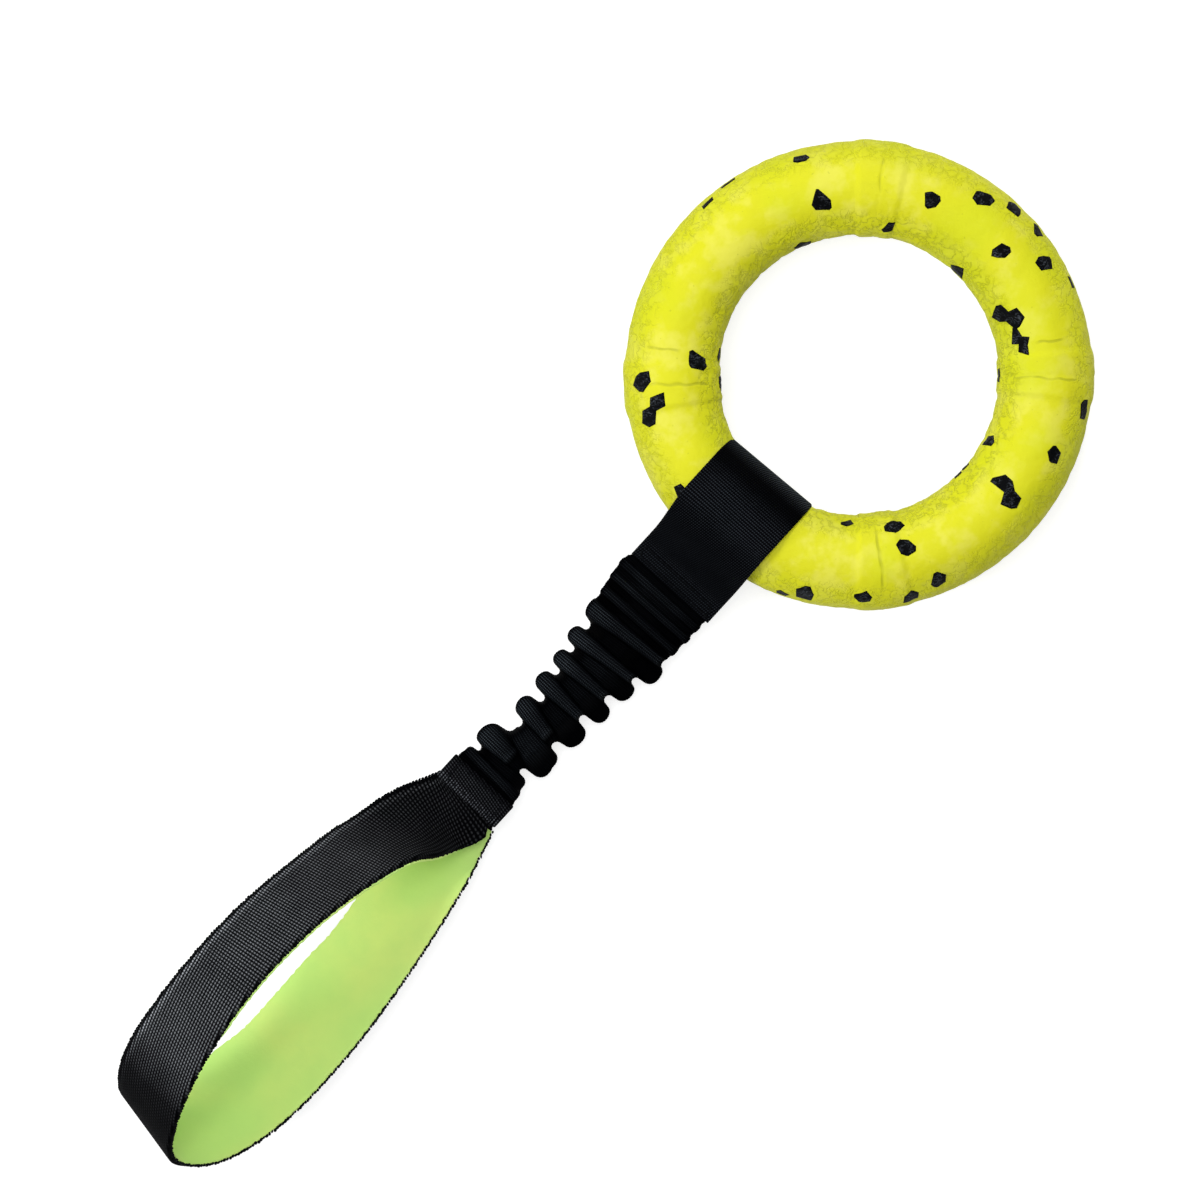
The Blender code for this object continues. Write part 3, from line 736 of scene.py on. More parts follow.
@dataclass
class FoamRing:
    """The moulded ring of fused foam beads, with the black beads among them."""

    place: RingPlace = field(default_factory=RingPlace)
    ring_radius: float = 55.85 * MM
    tube_radius: float = 14.0 * MM
    ring_steps: int = 640
    tube_steps: int = 148
    bead_relief: float = 0.24 * MM
    waviness: float = 0.5 * MM
    lumps: float = 0.3 * MM
    band_rise: float = 0.6 * MM
    band_middles: tuple[float, ...] = (36.5, 135.8, 228.8, 312.0)
    band_half: float = 6.6
    band_edge: float = 1.2
    mould_line: float = 0.6 * MM
    mould_depth: float = 0.14 * MM
    bead_rise: float = 0.1 * MM
    bead_root: float = 0.9 * MM
    bead_step: float = 0.35 * MM
    swell_scales: tuple[float, float] = (75.0, 190.0)
    underside_turn: float = 137.0
    foam: FoamFinish = field(default_factory=FoamFinish)
    bead: BeadFinish = field(default_factory=BeadFinish)

    def shape_tree(self) -> ShapeTree:
        """Torus whose tube swells at the mould bands and is pillowed bead by bead.

        Returns:
            The tree.
        """
        names = "ring_radius tube_radius ring_steps tube_steps bead_relief waviness lumps band_rise"
        sizes = {name.title(): getattr(self, name) for name in (*names.split(), "mould_line", "mould_depth")}
        tree = ShapeTree("bead_foam_ring", Bead_Size=self.foam.bead_size, Seed=self.foam.seed, **sizes)
        given = tree.given
        circle = "GeometryNodeCurvePrimitiveCircle"
        ring, tube = (
            tree.out(circle, {"Resolution": given[f"{name} Steps"], "Radius": given[f"{name} Radius"]})
            for name in ("Ring", "Tube")
        )
        torus = tree.out("GeometryNodeCurveToMesh", {"Curve": ring, "Profile Curve": tube})
        spot = tree.out("GeometryNodeInputPosition")
        flat = tree.vector("MULTIPLY", spot, (1.0, 1.0, 0.0))
        facing = tree.vector("NORMALIZE", flat)
        core = tree.vector("SCALE", facing, given["Ring Radius"])
        outward = tree.vector("NORMALIZE", tree.vector("SUBTRACT", spot, core))
        seeded = tree.vector("ADD", spot, tree.vector("SCALE", (1.0, 1.0, 1.0), given["Seed"]))
        feeds = {"Vector": seeded, "Scale": tree.maths("DIVIDE", 1.0, given["Bead Size"])}
        edge = tree.out("ShaderNodeTexVoronoi", feeds, "Distance", feature="DISTANCE_TO_EDGE")
        inner = tree.ramp(tree.vector("DOT_PRODUCT", outward, facing), -0.9, 0.6, 1.0, 0.45)
        steep = tree.size(tree.vector("DOT_PRODUCT", outward, (0.0, 0.0, 1.0)))
        steep = tree.ramp(steep, 0.6, 0.95, 1.0, 0.08)
        pillow = tree.times(tree.ramp(edge, 0.0, 0.24), inner)
        rise = tree.times(tree.times(pillow, given["Bead Relief"]), steep)
        soft = (tree.noise(seeded, scale, 1.0, 0.4) for scale in self.swell_scales)
        wave, lump = (tree.maths("SUBTRACT", noise, 0.5) for noise in soft)
        rise = tree.scaled(wave, given["Waviness"], rise)
        rise = tree.scaled(tree.times(lump, given["Lumps"]), tree.maths("ADD", steep, 0.35), rise)
        rise = tree.maths("SUBTRACT", rise, tree.times(given["Bead Relief"], 0.5))
        outside, inside = (math.cos(math.radians(self.band_half + side * self.band_edge)) for side in (1, -1))
        band: Feed = 0.0
        groove: Feed = 0.0
        for middle in self.band_middles:
            ahead = tree.from_line(facing, math.radians(middle))[1]
            band = tree.maths("MAXIMUM", band, tree.ramp(ahead, outside, inside))
            aside = tree.size(tree.from_line(flat, math.radians(middle))[0])
            line = tree.ramp(aside, 0.0, given["Mould Line"], 1.0, 0.0)
            groove = tree.maths("MAXIMUM", groove, tree.times(line, tree.ramp(ahead, 0.5, 0.9)))
        rise = tree.scaled(band, given["Band Rise"], rise)
        rise = tree.maths("SUBTRACT", rise, tree.times(groove, given["Mould Depth"]))
        feeds = {"Geometry": torus, "Offset": tree.vector("SCALE", outward, rise)}
        tree.close(tree.out("GeometryNodeSetPosition", feeds))
        return tree

    def build(self) -> None:
        """Make the foam and then the black beads on it."""
        empty = bpy.data.meshes.new("ring_foam")
        foam = self.shape_tree().run("ring_foam", empty, self.foam.material(self.place))
        vertices = foam.data.vertices
        vertices.foreach_set("co", self.place.to_row(np.array([vertex.co for vertex in vertices])).ravel())
        foam.data.update()
        surface = BVHTree.FromPolygons([v.co for v in vertices], [p.vertices for p in foam.data.polygons])
        beads = placed("ring_black_beads", self.bead_mesh(surface), self.bead.material(self.place))
        hand_over(foam, Body.RING, Slot.FOAM, "foam_ring")
        hand_over(beads, Body.RING, Slot.FOAM)

    def on_tube(self, around: float, over: float, radius: float) -> Vector:
        """Point at angles round the ring and over the tube, in the row frame.

        Args:
            around: angle round the ring.
            over: angle over the tube, from its outer side.
            radius: distance from the tube's middle.

        Returns:
            The point.
        """
        reach = self.ring_radius + radius * math.cos(over)
        point = np.array([reach * math.cos(around), reach * math.sin(around), radius * math.sin(over)])
        return Vector(self.place.to_row(point))

    def bead_mesh(self, surface: BVHTree) -> Mesh:
        """Every black bead, on both faces of the ring, as a closed tile set against the foam's surface.

        Args:
            surface: the foam's own surface.

        Returns:
            The mesh.
        """
        under = [
            BlackBead(bead.around + self.underside_turn, -bead.over, tuple((u, -v) for u, v in bead.corners))
            for bead in BLACK_BEADS
            if 15 < bead.over < 165
        ]
        points: list[Vector] = []
        faces: list[list[int]] = []
        depths: list[float] = []
        for bead in (*BLACK_BEADS, *under):
            self.add_bead(bead, surface, points, faces, depths)
        return plain_mesh("ring_black_beads", points, [], faces, inner=np.array(depths))

    def add_bead(self, bead: BlackBead, surface: BVHTree, points: list, faces: list, depths: list) -> None:
        """Add one bead's tile, which follows the tube and stands proud of the foam by a hair.

        Args:
            bead: where the bead is, and its outline.
            surface: the foam's own surface.
            points: every tile's points so far, which grows.
            faces: every tile's faces so far, which grows.
            depths: how far inside its outline each point lies, from 0 to 1, which grows.
        """
        corners = np.array(bead.corners) * MM
        sides = np.roll(corners, -1, axis=0) - corners
        steps = np.maximum(np.ceil(np.linalg.norm(sides, axis=1) / self.bead_step).astype(int), 2)
        shares = (np.linspace(0, 1, count, endpoint=False)[:, None] for count in steps)
        outline = np.vstack([c + side * share for c, side, share in zip(corners, sides, shares)])
        middle = outline.mean(axis=0)
        over, around = math.radians(bead.over), math.radians(bead.around)
        arm = self.ring_radius + self.tube_radius * math.cos(over)

        def lift(spot: Array, rise: float, depth: float) -> None:
            """Add a point of the flat outline, at a height above the foam.

            Args:
                spot: the point, on the outline laid flat.
                rise: how far above the foam.
                depth: how far inside the outline.
            """
            at = around + spot[0] / arm, over + spot[1] / self.tube_radius
            start, core = self.on_tube(*at, self.tube_radius + 4 * MM), self.on_tube(*at, 0.0)
            hit = surface.ray_cast(start, core - start)[0]
            rise += self.bead_rise
            points.append(self.on_tube(*at, (hit - core).length + rise if hit else self.tube_radius + rise))
            depths.append(depth)

        rings = ((1, -self.bead_root, 0), (1, -0.12 * MM, 0), (0.975, 0, 0.05), (0.9, 0.05 * MM, 0.3))
        rings += ((0.75, 0.06 * MM, 0.7), (0.5, 0.07 * MM, 1), (0.25, 0.07 * MM, 1))
        first, count = len(points), len(outline)
        for scale, rise, depth in rings:
            for spot in outline:
                lift(middle + (spot - middle) * scale, rise, depth)
        lift(middle, 0.07 * MM, 1)
        lift(middle, -self.bead_root, 0)
        crown, root = len(points) - 2, len(points) - 1
        levels = np.arange(first, crown).reshape(len(rings), count).tolist()
        tile = []
        for here in range(count):
            after = (here + 1) % count
            pairs = zip(levels, levels[1:])
            tile += [[low[here], low[after], high[after], high[here]] for low, high in pairs]
            tile += [[levels[-1][here], levels[-1][after], crown], [first + after, first + here, root]]
        faces += tile if np.cross(*corners[:2]) > 0 else [face[::-1] for face in tile]


def run_length(points: Array) -> Array:
    """Distance of each point from the first, along the line through them all."""
    return np.concatenate([[0.0], np.cumsum(np.linalg.norm(np.diff(points, axis=0), axis=1))])


def columns_at(even: Array, at: Array, values: Array) -> Array:
    """Read columns of values, known at some distances, at others."""
    return np.stack([np.interp(even, at, column) for column in values.T], axis=1)


def unit(vectors: Array) -> Array:
    """Scale each row to a length of 1."""
    return vectors / np.linalg.norm(vectors, axis=1)[:, None]


@dataclass
class BandPath:
    """Where a flat band runs: its middle line, width direction, outer side and half width at each station."""

    middle: Array
    width: Array
    outward: Array
    half: Array

    @classmethod
    def along(cls, middle: Array, width: Array, half: Array) -> "BandPath":
        """Work out the outer side from the way the middle line runs.

        Args:
            middle: the middle line.
            width: which way the width runs, roughly.
            half: half the width.

        Returns:
            The path.
        """
        ahead = unit(np.gradient(middle, axis=0))
        width = unit(width - ahead * (width * ahead).sum(axis=1)[:, None])
        return cls(middle, width, np.cross(width, ahead), half)

    def lengths(self) -> Array:
        """Distance of each station from the first, along the middle line."""
        return run_length(self.middle)

    def resampled(self, step: float, smooth: float) -> "BandPath":
        """Set stations at an even step, with the corners between the old ones rounded off.

        Args:
            step: distance between stations.
            smooth: how far along the path a corner is spread.

        Returns:
            The same path with its new stations.
        """
        at = self.lengths()
        even = np.linspace(0.0, at[-1], max(int(round(at[-1] / step)), 4) + 1)
        spread = max(int(round(smooth / step)), 1)
        reach = 3 * spread
        weights = np.exp(-0.5 * (np.arange(-reach, reach + 1) / spread) ** 2)
        dense = columns_at(even, at, np.column_stack([self.middle, self.width, self.half]))
        before, beyond = 2 * dense[0] - dense[reach:0:-1], 2 * dense[-1] - dense[-2 : -reach - 2 : -1]
        dense = np.vstack([before, dense, beyond])
        fresh = [np.convolve(column, weights / weights.sum(), mode="valid") for column in dense.T]
        return BandPath.along(np.stack(fresh[:3], axis=1), np.stack(fresh[3:6], axis=1), fresh[6])

    def widened(self, left: Array, right: Array) -> "BandPath":
        """Move the band's left and right edges outwards, each by its own distance at every station."""
        middle = self.middle + self.width * ((left - right) / 2)[:, None]
        return BandPath(middle, self.width, self.outward, self.half + (left + right) / 2)

    def part(self, chosen: Array) -> "BandPath":
        """Keep only the chosen stations."""
        return BandPath(self.middle[chosen], self.width[chosen], self.outward[chosen], self.half[chosen])

    def spot(self, side: float, out: Array, beyond: Array) -> Array:
        """Points beyond the edge on side 1 or -1, at a distance out of the band's outer side."""
        return self.middle + self.width * (side * (self.half + beyond))[:, None] + self.outward * out[:, None]

    def rows(self, thickness: float, columns: int, crown: float = 0.0) -> tuple[Array, Array]:
        """Rings of points round the band, with rounded edges.

        Args:
            thickness: how thick it is at its edges.
            columns: how many steps cross its face.
            crown: how much its inner side swells in the middle.

        Returns:
            The points by station and corner, and how far across each corner lies, in millimetres.
        """
        radius = thickness / 2
        turns = np.linspace(math.pi / 2, -math.pi / 2, 7)[1:-1]
        face = np.sin(np.linspace(-math.pi / 2, math.pi / 2, columns + 1))
        shares = np.concatenate([face, np.ones(5), face[::-1], -np.ones(5)])
        past = radius * np.concatenate([0 * face, np.cos(turns), 0 * face, -np.cos(turns)])
        out = radius * np.concatenate([face**0, np.sin(turns), -(face**0), -np.sin(turns)])
        out = out - crown * (1 - shares**2) * (out < -radius * 0.99)
        across = (self.half[:, None] - radius) * shares + past
        rows = self.middle[:, None] + self.width[:, None] * across[..., None]
        return rows + self.outward[:, None] * out[:, None], across / MM


def rib_tree() -> ShapeTree:
    """Raise ribs across a band, as its yarns do, from the distance along it.

    Returns:
        The tree.
    """
    tree = ShapeTree("webbing_ribs", Rib_Pitch=0.82, Rib_Height=0.1 * MM, Along="along")
    given = tree.given
    phase = tree.maths("DIVIDE", tree.attribute(given["Along"]), given["Rib Pitch"])
    wave = tree.size(tree.maths("SINE", tree.times(phase, math.pi)))
    rise = tree.times(tree.maths("SUBTRACT", wave, 0.6), given["Rib Height"])
    offset = tree.vector("SCALE", tree.out("GeometryNodeInputNormal"), rise)
    tree.close(tree.out("GeometryNodeSetPosition", {"Geometry": given["Geometry"], "Offset": offset}))
    return tree


def stitch_tree() -> ShapeTree:
    """Set stitches along a line, each a small rounded tuft of thread laid on the cloth.

    Returns:
        The tree.
    """
    size = (1.6 * MM, 0.6 * MM, 0.5 * MM)
    tree = ShapeTree("stitches", Pitch=2.0 * MM, Size=size, Slant=0.0, Unlike=0.12, Seed=3)
    given = tree.given
    line = tree.out("GeometryNodeMeshToCurve", {0: given["Geometry"]})
    even = tree.out("GeometryNodeResampleCurve", {"Curve": line, "Length": given["Pitch"]}, mode="LENGTH")
    ball = tree.out("GeometryNodeMeshUVSphere", {"Segments": 8, "Rings": 6, "Radius": 0.5})
    align = "FunctionNodeAlignRotationToVector"
    turned = tree.out(align, {"Vector": tree.out("GeometryNodeInputTangent")}, axis="X")
    feeds = {"Rotation": turned, "Vector": tree.attribute("facing", "FLOAT_VECTOR")}
    turned = tree.out(align, feeds, axis="Z", pivot_axis="X")
    feeds = {"Min": (-1.0,) * 3, "Max": (1.0,) * 3, "Seed": given["Seed"]}
    loose = tree.out("FunctionNodeRandomValue", feeds, data_type="FLOAT_VECTOR")
    loose = tree.vector("SCALE", loose, given["Unlike"])
    lean = tree.vector("ADD", tree.out("ShaderNodeCombineXYZ", {"Z": given["Slant"]}), loose)
    feeds = {0: turned, 1: tree.out("FunctionNodeEulerToRotation", {0: lean})}
    turned = tree.out("FunctionNodeRotateRotation", feeds, rotation_space="LOCAL")
    size = tree.vector("MULTIPLY", given["Size"], tree.vector("ADD", loose, (1.0, 1.0, 1.0)))
    feeds = {"Points": even, "Instance": ball, "Rotation": turned, "Scale": size}
    tree.close(tree.out("GeometryNodeInstanceOnPoints", feeds))
    return tree


Look = Callable[[Array, Array], tuple[Array, Array]]


def even_look(rows: Array, across: Array) -> tuple[Array, Array]:
    """Tone and grain of a band that is alike all over."""
    return np.full_like(across, 0.6), np.full_like(across, 0.5)


def by_x(rows: Array, table: Table) -> Array:
    """Read a table of places along X, in millimetres, at every point."""
    return np.interp(rows[..., 0], *np.array(table).T)


# The handle's and the keeper's crest colours are painted highlights on their yarn tops.
HANDLE_NYLON = WebbingFinish("handle_nylon", paint(140, 144, 149), rib_pitch=1.0, pick_pitch=1.3)
KEEPER_NYLON = WebbingFinish("keeper_nylon", paint(106, 110, 116), pick_pitch=0.82)


@dataclass
class Sewing:
    """What all the sewn pieces share: their webbing, their thread and the trees that rib and stitch."""

    strap: Material = field(default_factory=WebbingFinish("strap_nylon").material)
    handle: Material = field(default_factory=HANDLE_NYLON.material)
    keeper: Material = field(default_factory=KEEPER_NYLON.material)
    thread: Material = field(default_factory=ThreadFinish().material)
    ribs: ShapeTree = field(default_factory=rib_tree)
    stitches: ShapeTree = field(default_factory=stitch_tree)

    def band(
        self,
        name: str,
        path: BandPath,
        thickness: float,
        finish: Material,
        columns: int,
        look: Look = even_look,
        pitch: float = 0.82,
        closed: bool = False,
    ) -> Piece:
        """Make a ribbed band of webbing along a path.

        Args:
            name: the piece's name.
            path: where the band runs, at a step of about a fifth of a rib.
            thickness: how thick it is.
            finish: its material.
            columns: how many steps cross its face.
            look: works out its tone and grain from its points and how far across they lie, in millimetres.
            pitch: distance between ribs, in millimetres.
            closed: whether the path ends where it starts.

        Returns:
            The piece.
        """
        rows, across = path.rows(thickness, columns)
        along = np.broadcast_to((path.lengths() / MM)[:, None], across.shape)
        tone, grain = look(rows / MM, across)
        mesh = loft(name, rows, closed=closed, along=along, across=across, tone=tone, grain=grain)
        return self.ribs.run(name, mesh, finish, Rib_Pitch=pitch)

    def seam(self, name: str, run: Array, facing: Array, pitch: float, **sizes: Feed) -> Piece:
        """Sew along a line of points on cloth that faces a given way; sizes are the stitch tree's.

        Args:
            name: the piece's name.
            run: points of the line.
            facing: the way the cloth faces.
            pitch: distance between stitches.
            sizes: the stitch tree's other inputs.

        Returns:
            The piece.
        """
        edges = [(k, k + 1) for k in range(len(run) - 1)]
        lines = plain_mesh(name, run.tolist(), edges, [], facing=np.broadcast_to(facing, run.shape))
        return self.stitches.run(name, lines, self.thread, Pitch=pitch, **sizes)

    def box(self, name: str, node: str, body: Body, x: tuple, y: tuple, z: tuple, pitch: float) -> None:
        """Sew a box of stitches on an upper and a lower face.

        Args:
            name: the pieces' name, without the face.
            node: the CAD nodes' name, without the face.
            body: the body that they ride on.
            x: where the box starts and ends.
            y: its middle and half width.
            z: the middle level, and how far the faces lie from it.
            pitch: distance between stitches.
        """
        corners = ((x[0], -y[1]), (x[1], -y[1]), (x[1], y[1]), (x[0], y[1]), (x[0], -y[1]))
        for face, side in (("upper", 1), ("lower", -1)):
            run = np.array([(at, y[0] + aside, z[0] + side * z[1]) for at, aside in corners])
            size = (pitch - 0.2 * MM, 0.55 * MM, 0.5 * MM)
            sewn = self.seam(f"{name}_{face}", run, np.array([0.0, 0.0, side]), pitch, Size=size)
            hand_over(sewn, body, Slot.THREAD, f"{node}_{face}")


@dataclass
class Sewn:
    """Sizes that the sewn sub-assemblies share."""

    webbing: float = 1.5 * MM
    sleeve_z: float = 8.6 * MM
    leg_offset: float = 3.35 * MM
    junction_y: float = 0.6 * MM
    half_sewn: float = 10.4 * MM
    stitch_rise: float = 0.05 * MM
    rib_step: float = 0.82 * MM / 5


@dataclass
class RingStrap(Sewn):
    """The webbing eye: one strap folded round the ring's tube, its two ends sewn over the bungee's end.

    Its fold slides outwards over the angles of fold_turn, the first where that begins and the second how far it
    takes. Its inset says how far the stitches stay from the strap's end, from sewn_x and from its edges. Its
    tables say, by place along X, the weave's grain and its tone, which is painted light and shade.
    """

    width: float = 30.8 * MM
    middle_y: float = -1.4 * MM
    flare: float = 0.5 * MM
    flare_shift: float = 1.1 * MM
    fold_skew: float = 0.045
    end_x: float = 35.5 * MM
    sewn_x: float = 43.0 * MM
    eye_x: float = 64.808 * MM
    eye_radius: float = 14.9 * MM
    eye_flat: float = 6.0 * MM
    fold_reach: float = 0.8 * MM
    fold_turn: tuple[float, float] = (math.radians(112), math.radians(36))
    inset: tuple[float, float, float] = (1.2 * MM, 3.0 * MM, 2.0 * MM)
    stitch_pitch: float = 2.3 * MM
    # Painted light and shade along X: a highlight on top of the tube, painted shade on the climb and where the
    # strap dips, a painted sheen at the fold's edge.
    tones: Table = (
        (35.5, 0.1), (36.4, 0.8), (41, 0.8), (43, 0.5), (52, 0.45), (56, 0.55), (60, 0.85), (68, 0.9),
        (72, 0.55), (74.5, 0.2), (77.5, 0.12), (79.2, 0.7), (80.5, 1.8), (82, 3.5),
    )
    grains: Table = ((36, 0.15), (41, 0.4), (57, 0.35), (61, 0.9), (70, 0.85), (74, 0.4), (80, 0.3))

    def look(self, rows: Array, across: Array) -> tuple[Array, Array]:
        """Tone and grain: a painted highlight on top of the tube and a painted sheen at the fold's edge,
        painted shade on the rise from the sewn ends and near black where the strap dips towards its fold.
        """
        return by_x(rows, self.tones), by_x(rows, self.grains)

    def path(self) -> BandPath:
        """The strap's middle line, from its upper sewn end round the tube to its lower one.

        Returns:
            The path.
        """
        radius = self.eye_radius + self.webbing / 2
        eye_z = self.eye_radius + self.webbing
        start, sewn = self.end_x, self.sewn_x
        high, low = self.sleeve_z + self.leg_offset, self.sleeve_z - self.leg_offset
        away, lift = self.eye_x - sewn, eye_z - high
        reach = math.hypot(away, lift)
        leave = math.atan2(lift, away) + math.asin(radius / reach)
        run = math.sqrt(reach**2 - radius**2)
        points = [(start, high), (sewn - 2 * MM, high), (sewn, high + 0.3 * MM)]
        climb = run * math.cos(leave), run * math.sin(leave)
        points += [(sewn + s * climb[0], high + s * climb[1]) for s in (0.2, 0.4, 0.6, 0.8)]
        for angle in np.linspace(leave + math.pi / 2, -math.pi / 2, 60):
            slide = float(ease((self.fold_turn[0] - abs(angle)) / self.fold_turn[1])) * self.fold_reach
            points.append((self.eye_x + radius * math.cos(angle) + slide, eye_z + radius * math.sin(angle)))
        floor_x, floor_z = self.eye_x - self.eye_flat, eye_z - radius
        fall = sewn - floor_x, low - floor_z
        points += [(floor_x + fall[0] * s, floor_z + fall[1] * s) for s in (0.0, 0.25, 0.5, 0.75)]
        points += [(sewn, low - 0.2 * MM), (sewn - 2 * MM, low), (start, low)]
        middle = np.array([(x, self.middle_y, z) for x, z in points])
        opening = ease((middle[:, 0] - 46 * MM) / (16 * MM))
        middle[:, 1] += self.flare_shift * opening
        skew = -self.fold_skew * ease((middle[:, 0] - 68 * MM) / (12 * MM))
        width = np.stack([skew, np.ones(len(middle)), np.zeros(len(middle))], axis=1)
        return BandPath(middle, width, np.zeros_like(middle), self.width / 2 + self.flare * opening)

    def build(self, sewing: Sewing) -> None:
        """Make the strap and the stitching of its ends.

        Args:
            sewing: the webbing, thread and trees that sewn pieces share.
        """
        path = self.path().resampled(self.rib_step, 1.2 * MM)
        strap = sewing.band("ring_strap_webbing", path, self.webbing, sewing.strap, 20, self.look)
        hand_over(strap, Body.STRAP, Slot.STRAP, "ring_strap")
        x = self.end_x + self.inset[0], self.sewn_x - self.inset[1]
        y = self.middle_y, self.width / 2 - self.inset[2]
        z = self.sleeve_z, self.leg_offset + self.webbing / 2 + self.stitch_rise
        sewing.box("strap_sewing", "ring_end_stitch", Body.STRAP, x, y, z, self.stitch_pitch)


@dataclass(frozen=True)
class Fold:
    """One crest or valley of the gathered sleeve, in millimetres.

    It runs from left_x on the +Y edge to right_x on the -Y edge, and reaches left and right from the toy's
    middle. Its lift is from -1, a valley, to 1, a crest. A crest ends in a curled lip at the y named lip. Its
    tone
    is painted light and shade: high on lit crests, low in shaded valleys.
    """

    left_x: float
    right_x: float
    left: float
    right: float
    lift: float
    height: float = 4.9
    flat: float = 0.0
    # Painted light and shade of the fold: high on lit crests, low in shaded valleys.
    tone: float = 0.1
    lip: float = -40.0


@dataclass
class BungeeSleeve:
    """The gathered sleeve with its elastic, each made in three lengths because three joints cross it."""

    height: float = 8.6
    elastic_y: float = -0.7
    elastic_half: float = 3.0
    elastic_thick: float = 2.2
    elastic_ends: tuple[float, float] = (-52.5, 42.5)
    lift_middle: float = 1.1
    lift_edge: float = 4.0
    edge_half: float = 2.0
    edge_from: float = 3.0
    edge_ramp: float = 6.5
    lip_fall: float = 1.4
    lip_at: float = 0.4
    lip_curl: float = 0.6
    fullness: float = 0.7
    crease: float = 0.5
    step: float = 0.3
    corners: int = 180
    cuts: tuple[float, float] = (-18.0, 15.0)
    turn_from: float = -44.0
    turn_to: float = 30.0
    folds: tuple[Fold, ...] = (
        Fold(43.0, 43.0, 13.2, 16.0, 0.0, 2.3, 1.0, 0.1),
        Fold(35.4, 35.4, 13.9, 16.0, 0.0, 2.3, 1.0, 0.1),
        Fold(34.2, 34.2, 14.6, 15.8, 0.0, 2.6, 0.8, 0.12),
        Fold(32.2, 32.4, 15.1, 16.2, 0.2, 2.9, 0.4, 0.6),
        Fold(29.6, 29.6, 14.6, 15.7, -0.1, 2.8, 0.3, 0.3),
        Fold(27.4, 27.9, 14.5, 16.3, 0.4, 3.2, 0.15, 0.55),
        Fold(25.0, 25.2, 13.9, 15.6, -0.35, 3.3, 0.0, 0.08),
        Fold(22.2, 22.4, 13.6, 15.9, 0.45, 3.6, 0.0, 0.45),
        Fold(19.6, 20.0, 12.8, 15.2, -0.4, 3.8, 0.0, 0.08),
        Fold(16.6, 18.0, 13.4, 14.8, 0.9, tone=0.85, lip=-14.0),
        Fold(10.5, 12.8, 8.4, 17.4, -1.0, tone=0.08),
        Fold(6.3, 8.1, 12.2, 11.6, 1.0, tone=1.0, lip=-11.2),
        Fold(2.3, 3.8, 7.2, 14.8, -0.85, tone=0.5),
        Fold(-1.8, -1.3, 10.7, 9.2, 1.0, tone=1.0, lip=-8.7),
        Fold(-5.6, -6.3, 5.9, 14.0, -1.0, tone=0.35),
        Fold(-10.2, -10.7, 10.1, 7.6, 1.0, tone=1.0, lip=-7.2),
        Fold(-14.6, -16.0, 3.8, 13.1, -1.0, tone=0.25),
        Fold(-19.2, -22.3, 9.4, 7.0, 1.0, tone=1.0, lip=-4.0),
        Fold(-24.6, -26.8, 3.7, 11.8, -0.75, tone=0.6),
        Fold(-26.6, -29.9, 4.4, 12.2, -0.8, tone=0.6),
        Fold(-33.8, -34.6, 11.9, 5.2, 1.0, 4.2, tone=0.95, lip=-0.4),
        Fold(-38.3, -37.6, 7.8, 9.2, -0.7, 3.4, tone=0.12),
        Fold(-40.6, -42.4, 11.1, 10.3, 0.35, 2.8, 0.4, 0.7),
        Fold(-43.8, -43.9, 11.5, 10.6, 0.0, 2.3, 1.0, 0.08),
        Fold(-45.0, -45.0, 10.9, 9.7, 0.0, 2.3, 1.0, 0.1),
        Fold(-53.0, -53.0, 10.9, 9.7, 0.0, 2.3, 1.0, 0.1),
    )

    @staticmethod
    def turn(start: Array, end: Array, first: float, share: Array) -> Array:
        """Edge points from start to end: an arc out of the first point, a flank, an arc into the second.

        Args:
            start: first point, x and reach.
            end: second point.
            first: share of the run in x that the first arc takes.
            share: how far along each point lies, from 0 to 1.

        Returns:
            Points as rows of x and reach.
        """
        run, drop = end - start
        leave = np.clip(share / 0.4, 0, 1) * math.pi / 2
        enter = np.clip((share - 0.6) / 0.4, 0, 1) * math.pi / 2
        flank = np.clip((share - 0.4) / 0.2, 0, 1)
        parts = (first, 1 - first)
        round_out, round_in = (min(part * abs(run / drop), 0.5) if drop else 0.5 for part in parts)
        x = 0.96 * (first * np.sin(leave) + (1 - first) * (1 - np.cos(enter))) + 0.04 * flank
        steep = (1 - round_out - round_in) * flank
        reach = round_out * (1 - np.cos(leave)) + steep + round_in * np.sin(enter)
        return np.stack([start[0] + run * x, start[1] + drop * reach], axis=1)

    def stations(self) -> dict[str, Array]:
        """Edge places, reaches, lift, half height and the rest at every station, in millimetres.

        Returns:
            A column for each of these.
        """
        blends = ("lift", "height", "flat", "tone")
        columns: dict[str, list[Array]] = {
            name: [] for name in ("left", "right", *blends, "crease", "gap", "lip", "nearest")
        }
        first = 0
        for here, there in zip(self.folds, self.folds[1:]):
            run = max(abs(here.left_x - there.left_x), abs(here.right_x - there.right_x))
            drop = abs(here.lift - there.lift)
            rise = max(abs(here.left - there.left), abs(here.right - there.right), drop * self.lift_edge)
            share = np.linspace(0, 1, max(int((run + rise) / self.step), 3), endpoint=False)
            for name in ("left", "right"):
                ends = [np.array([getattr(fold, f"{name}_x"), getattr(fold, name)]) for fold in (here, there)]
                swell = np.clip((ends[0][1] - ends[1][1]) / 3, -1, 1) * (self.fullness - 0.5)
                columns[name].append(self.turn(*ends, 0.5 + swell, share))
            fall = ease(np.clip((share - 0.12) / 0.76, 0, 1))
            for name in blends:
                start, end = getattr(here, name), getattr(there, name)
                columns[name].append(start + (end - start) * fall)
            depth = min(drop / 1.2, 1)
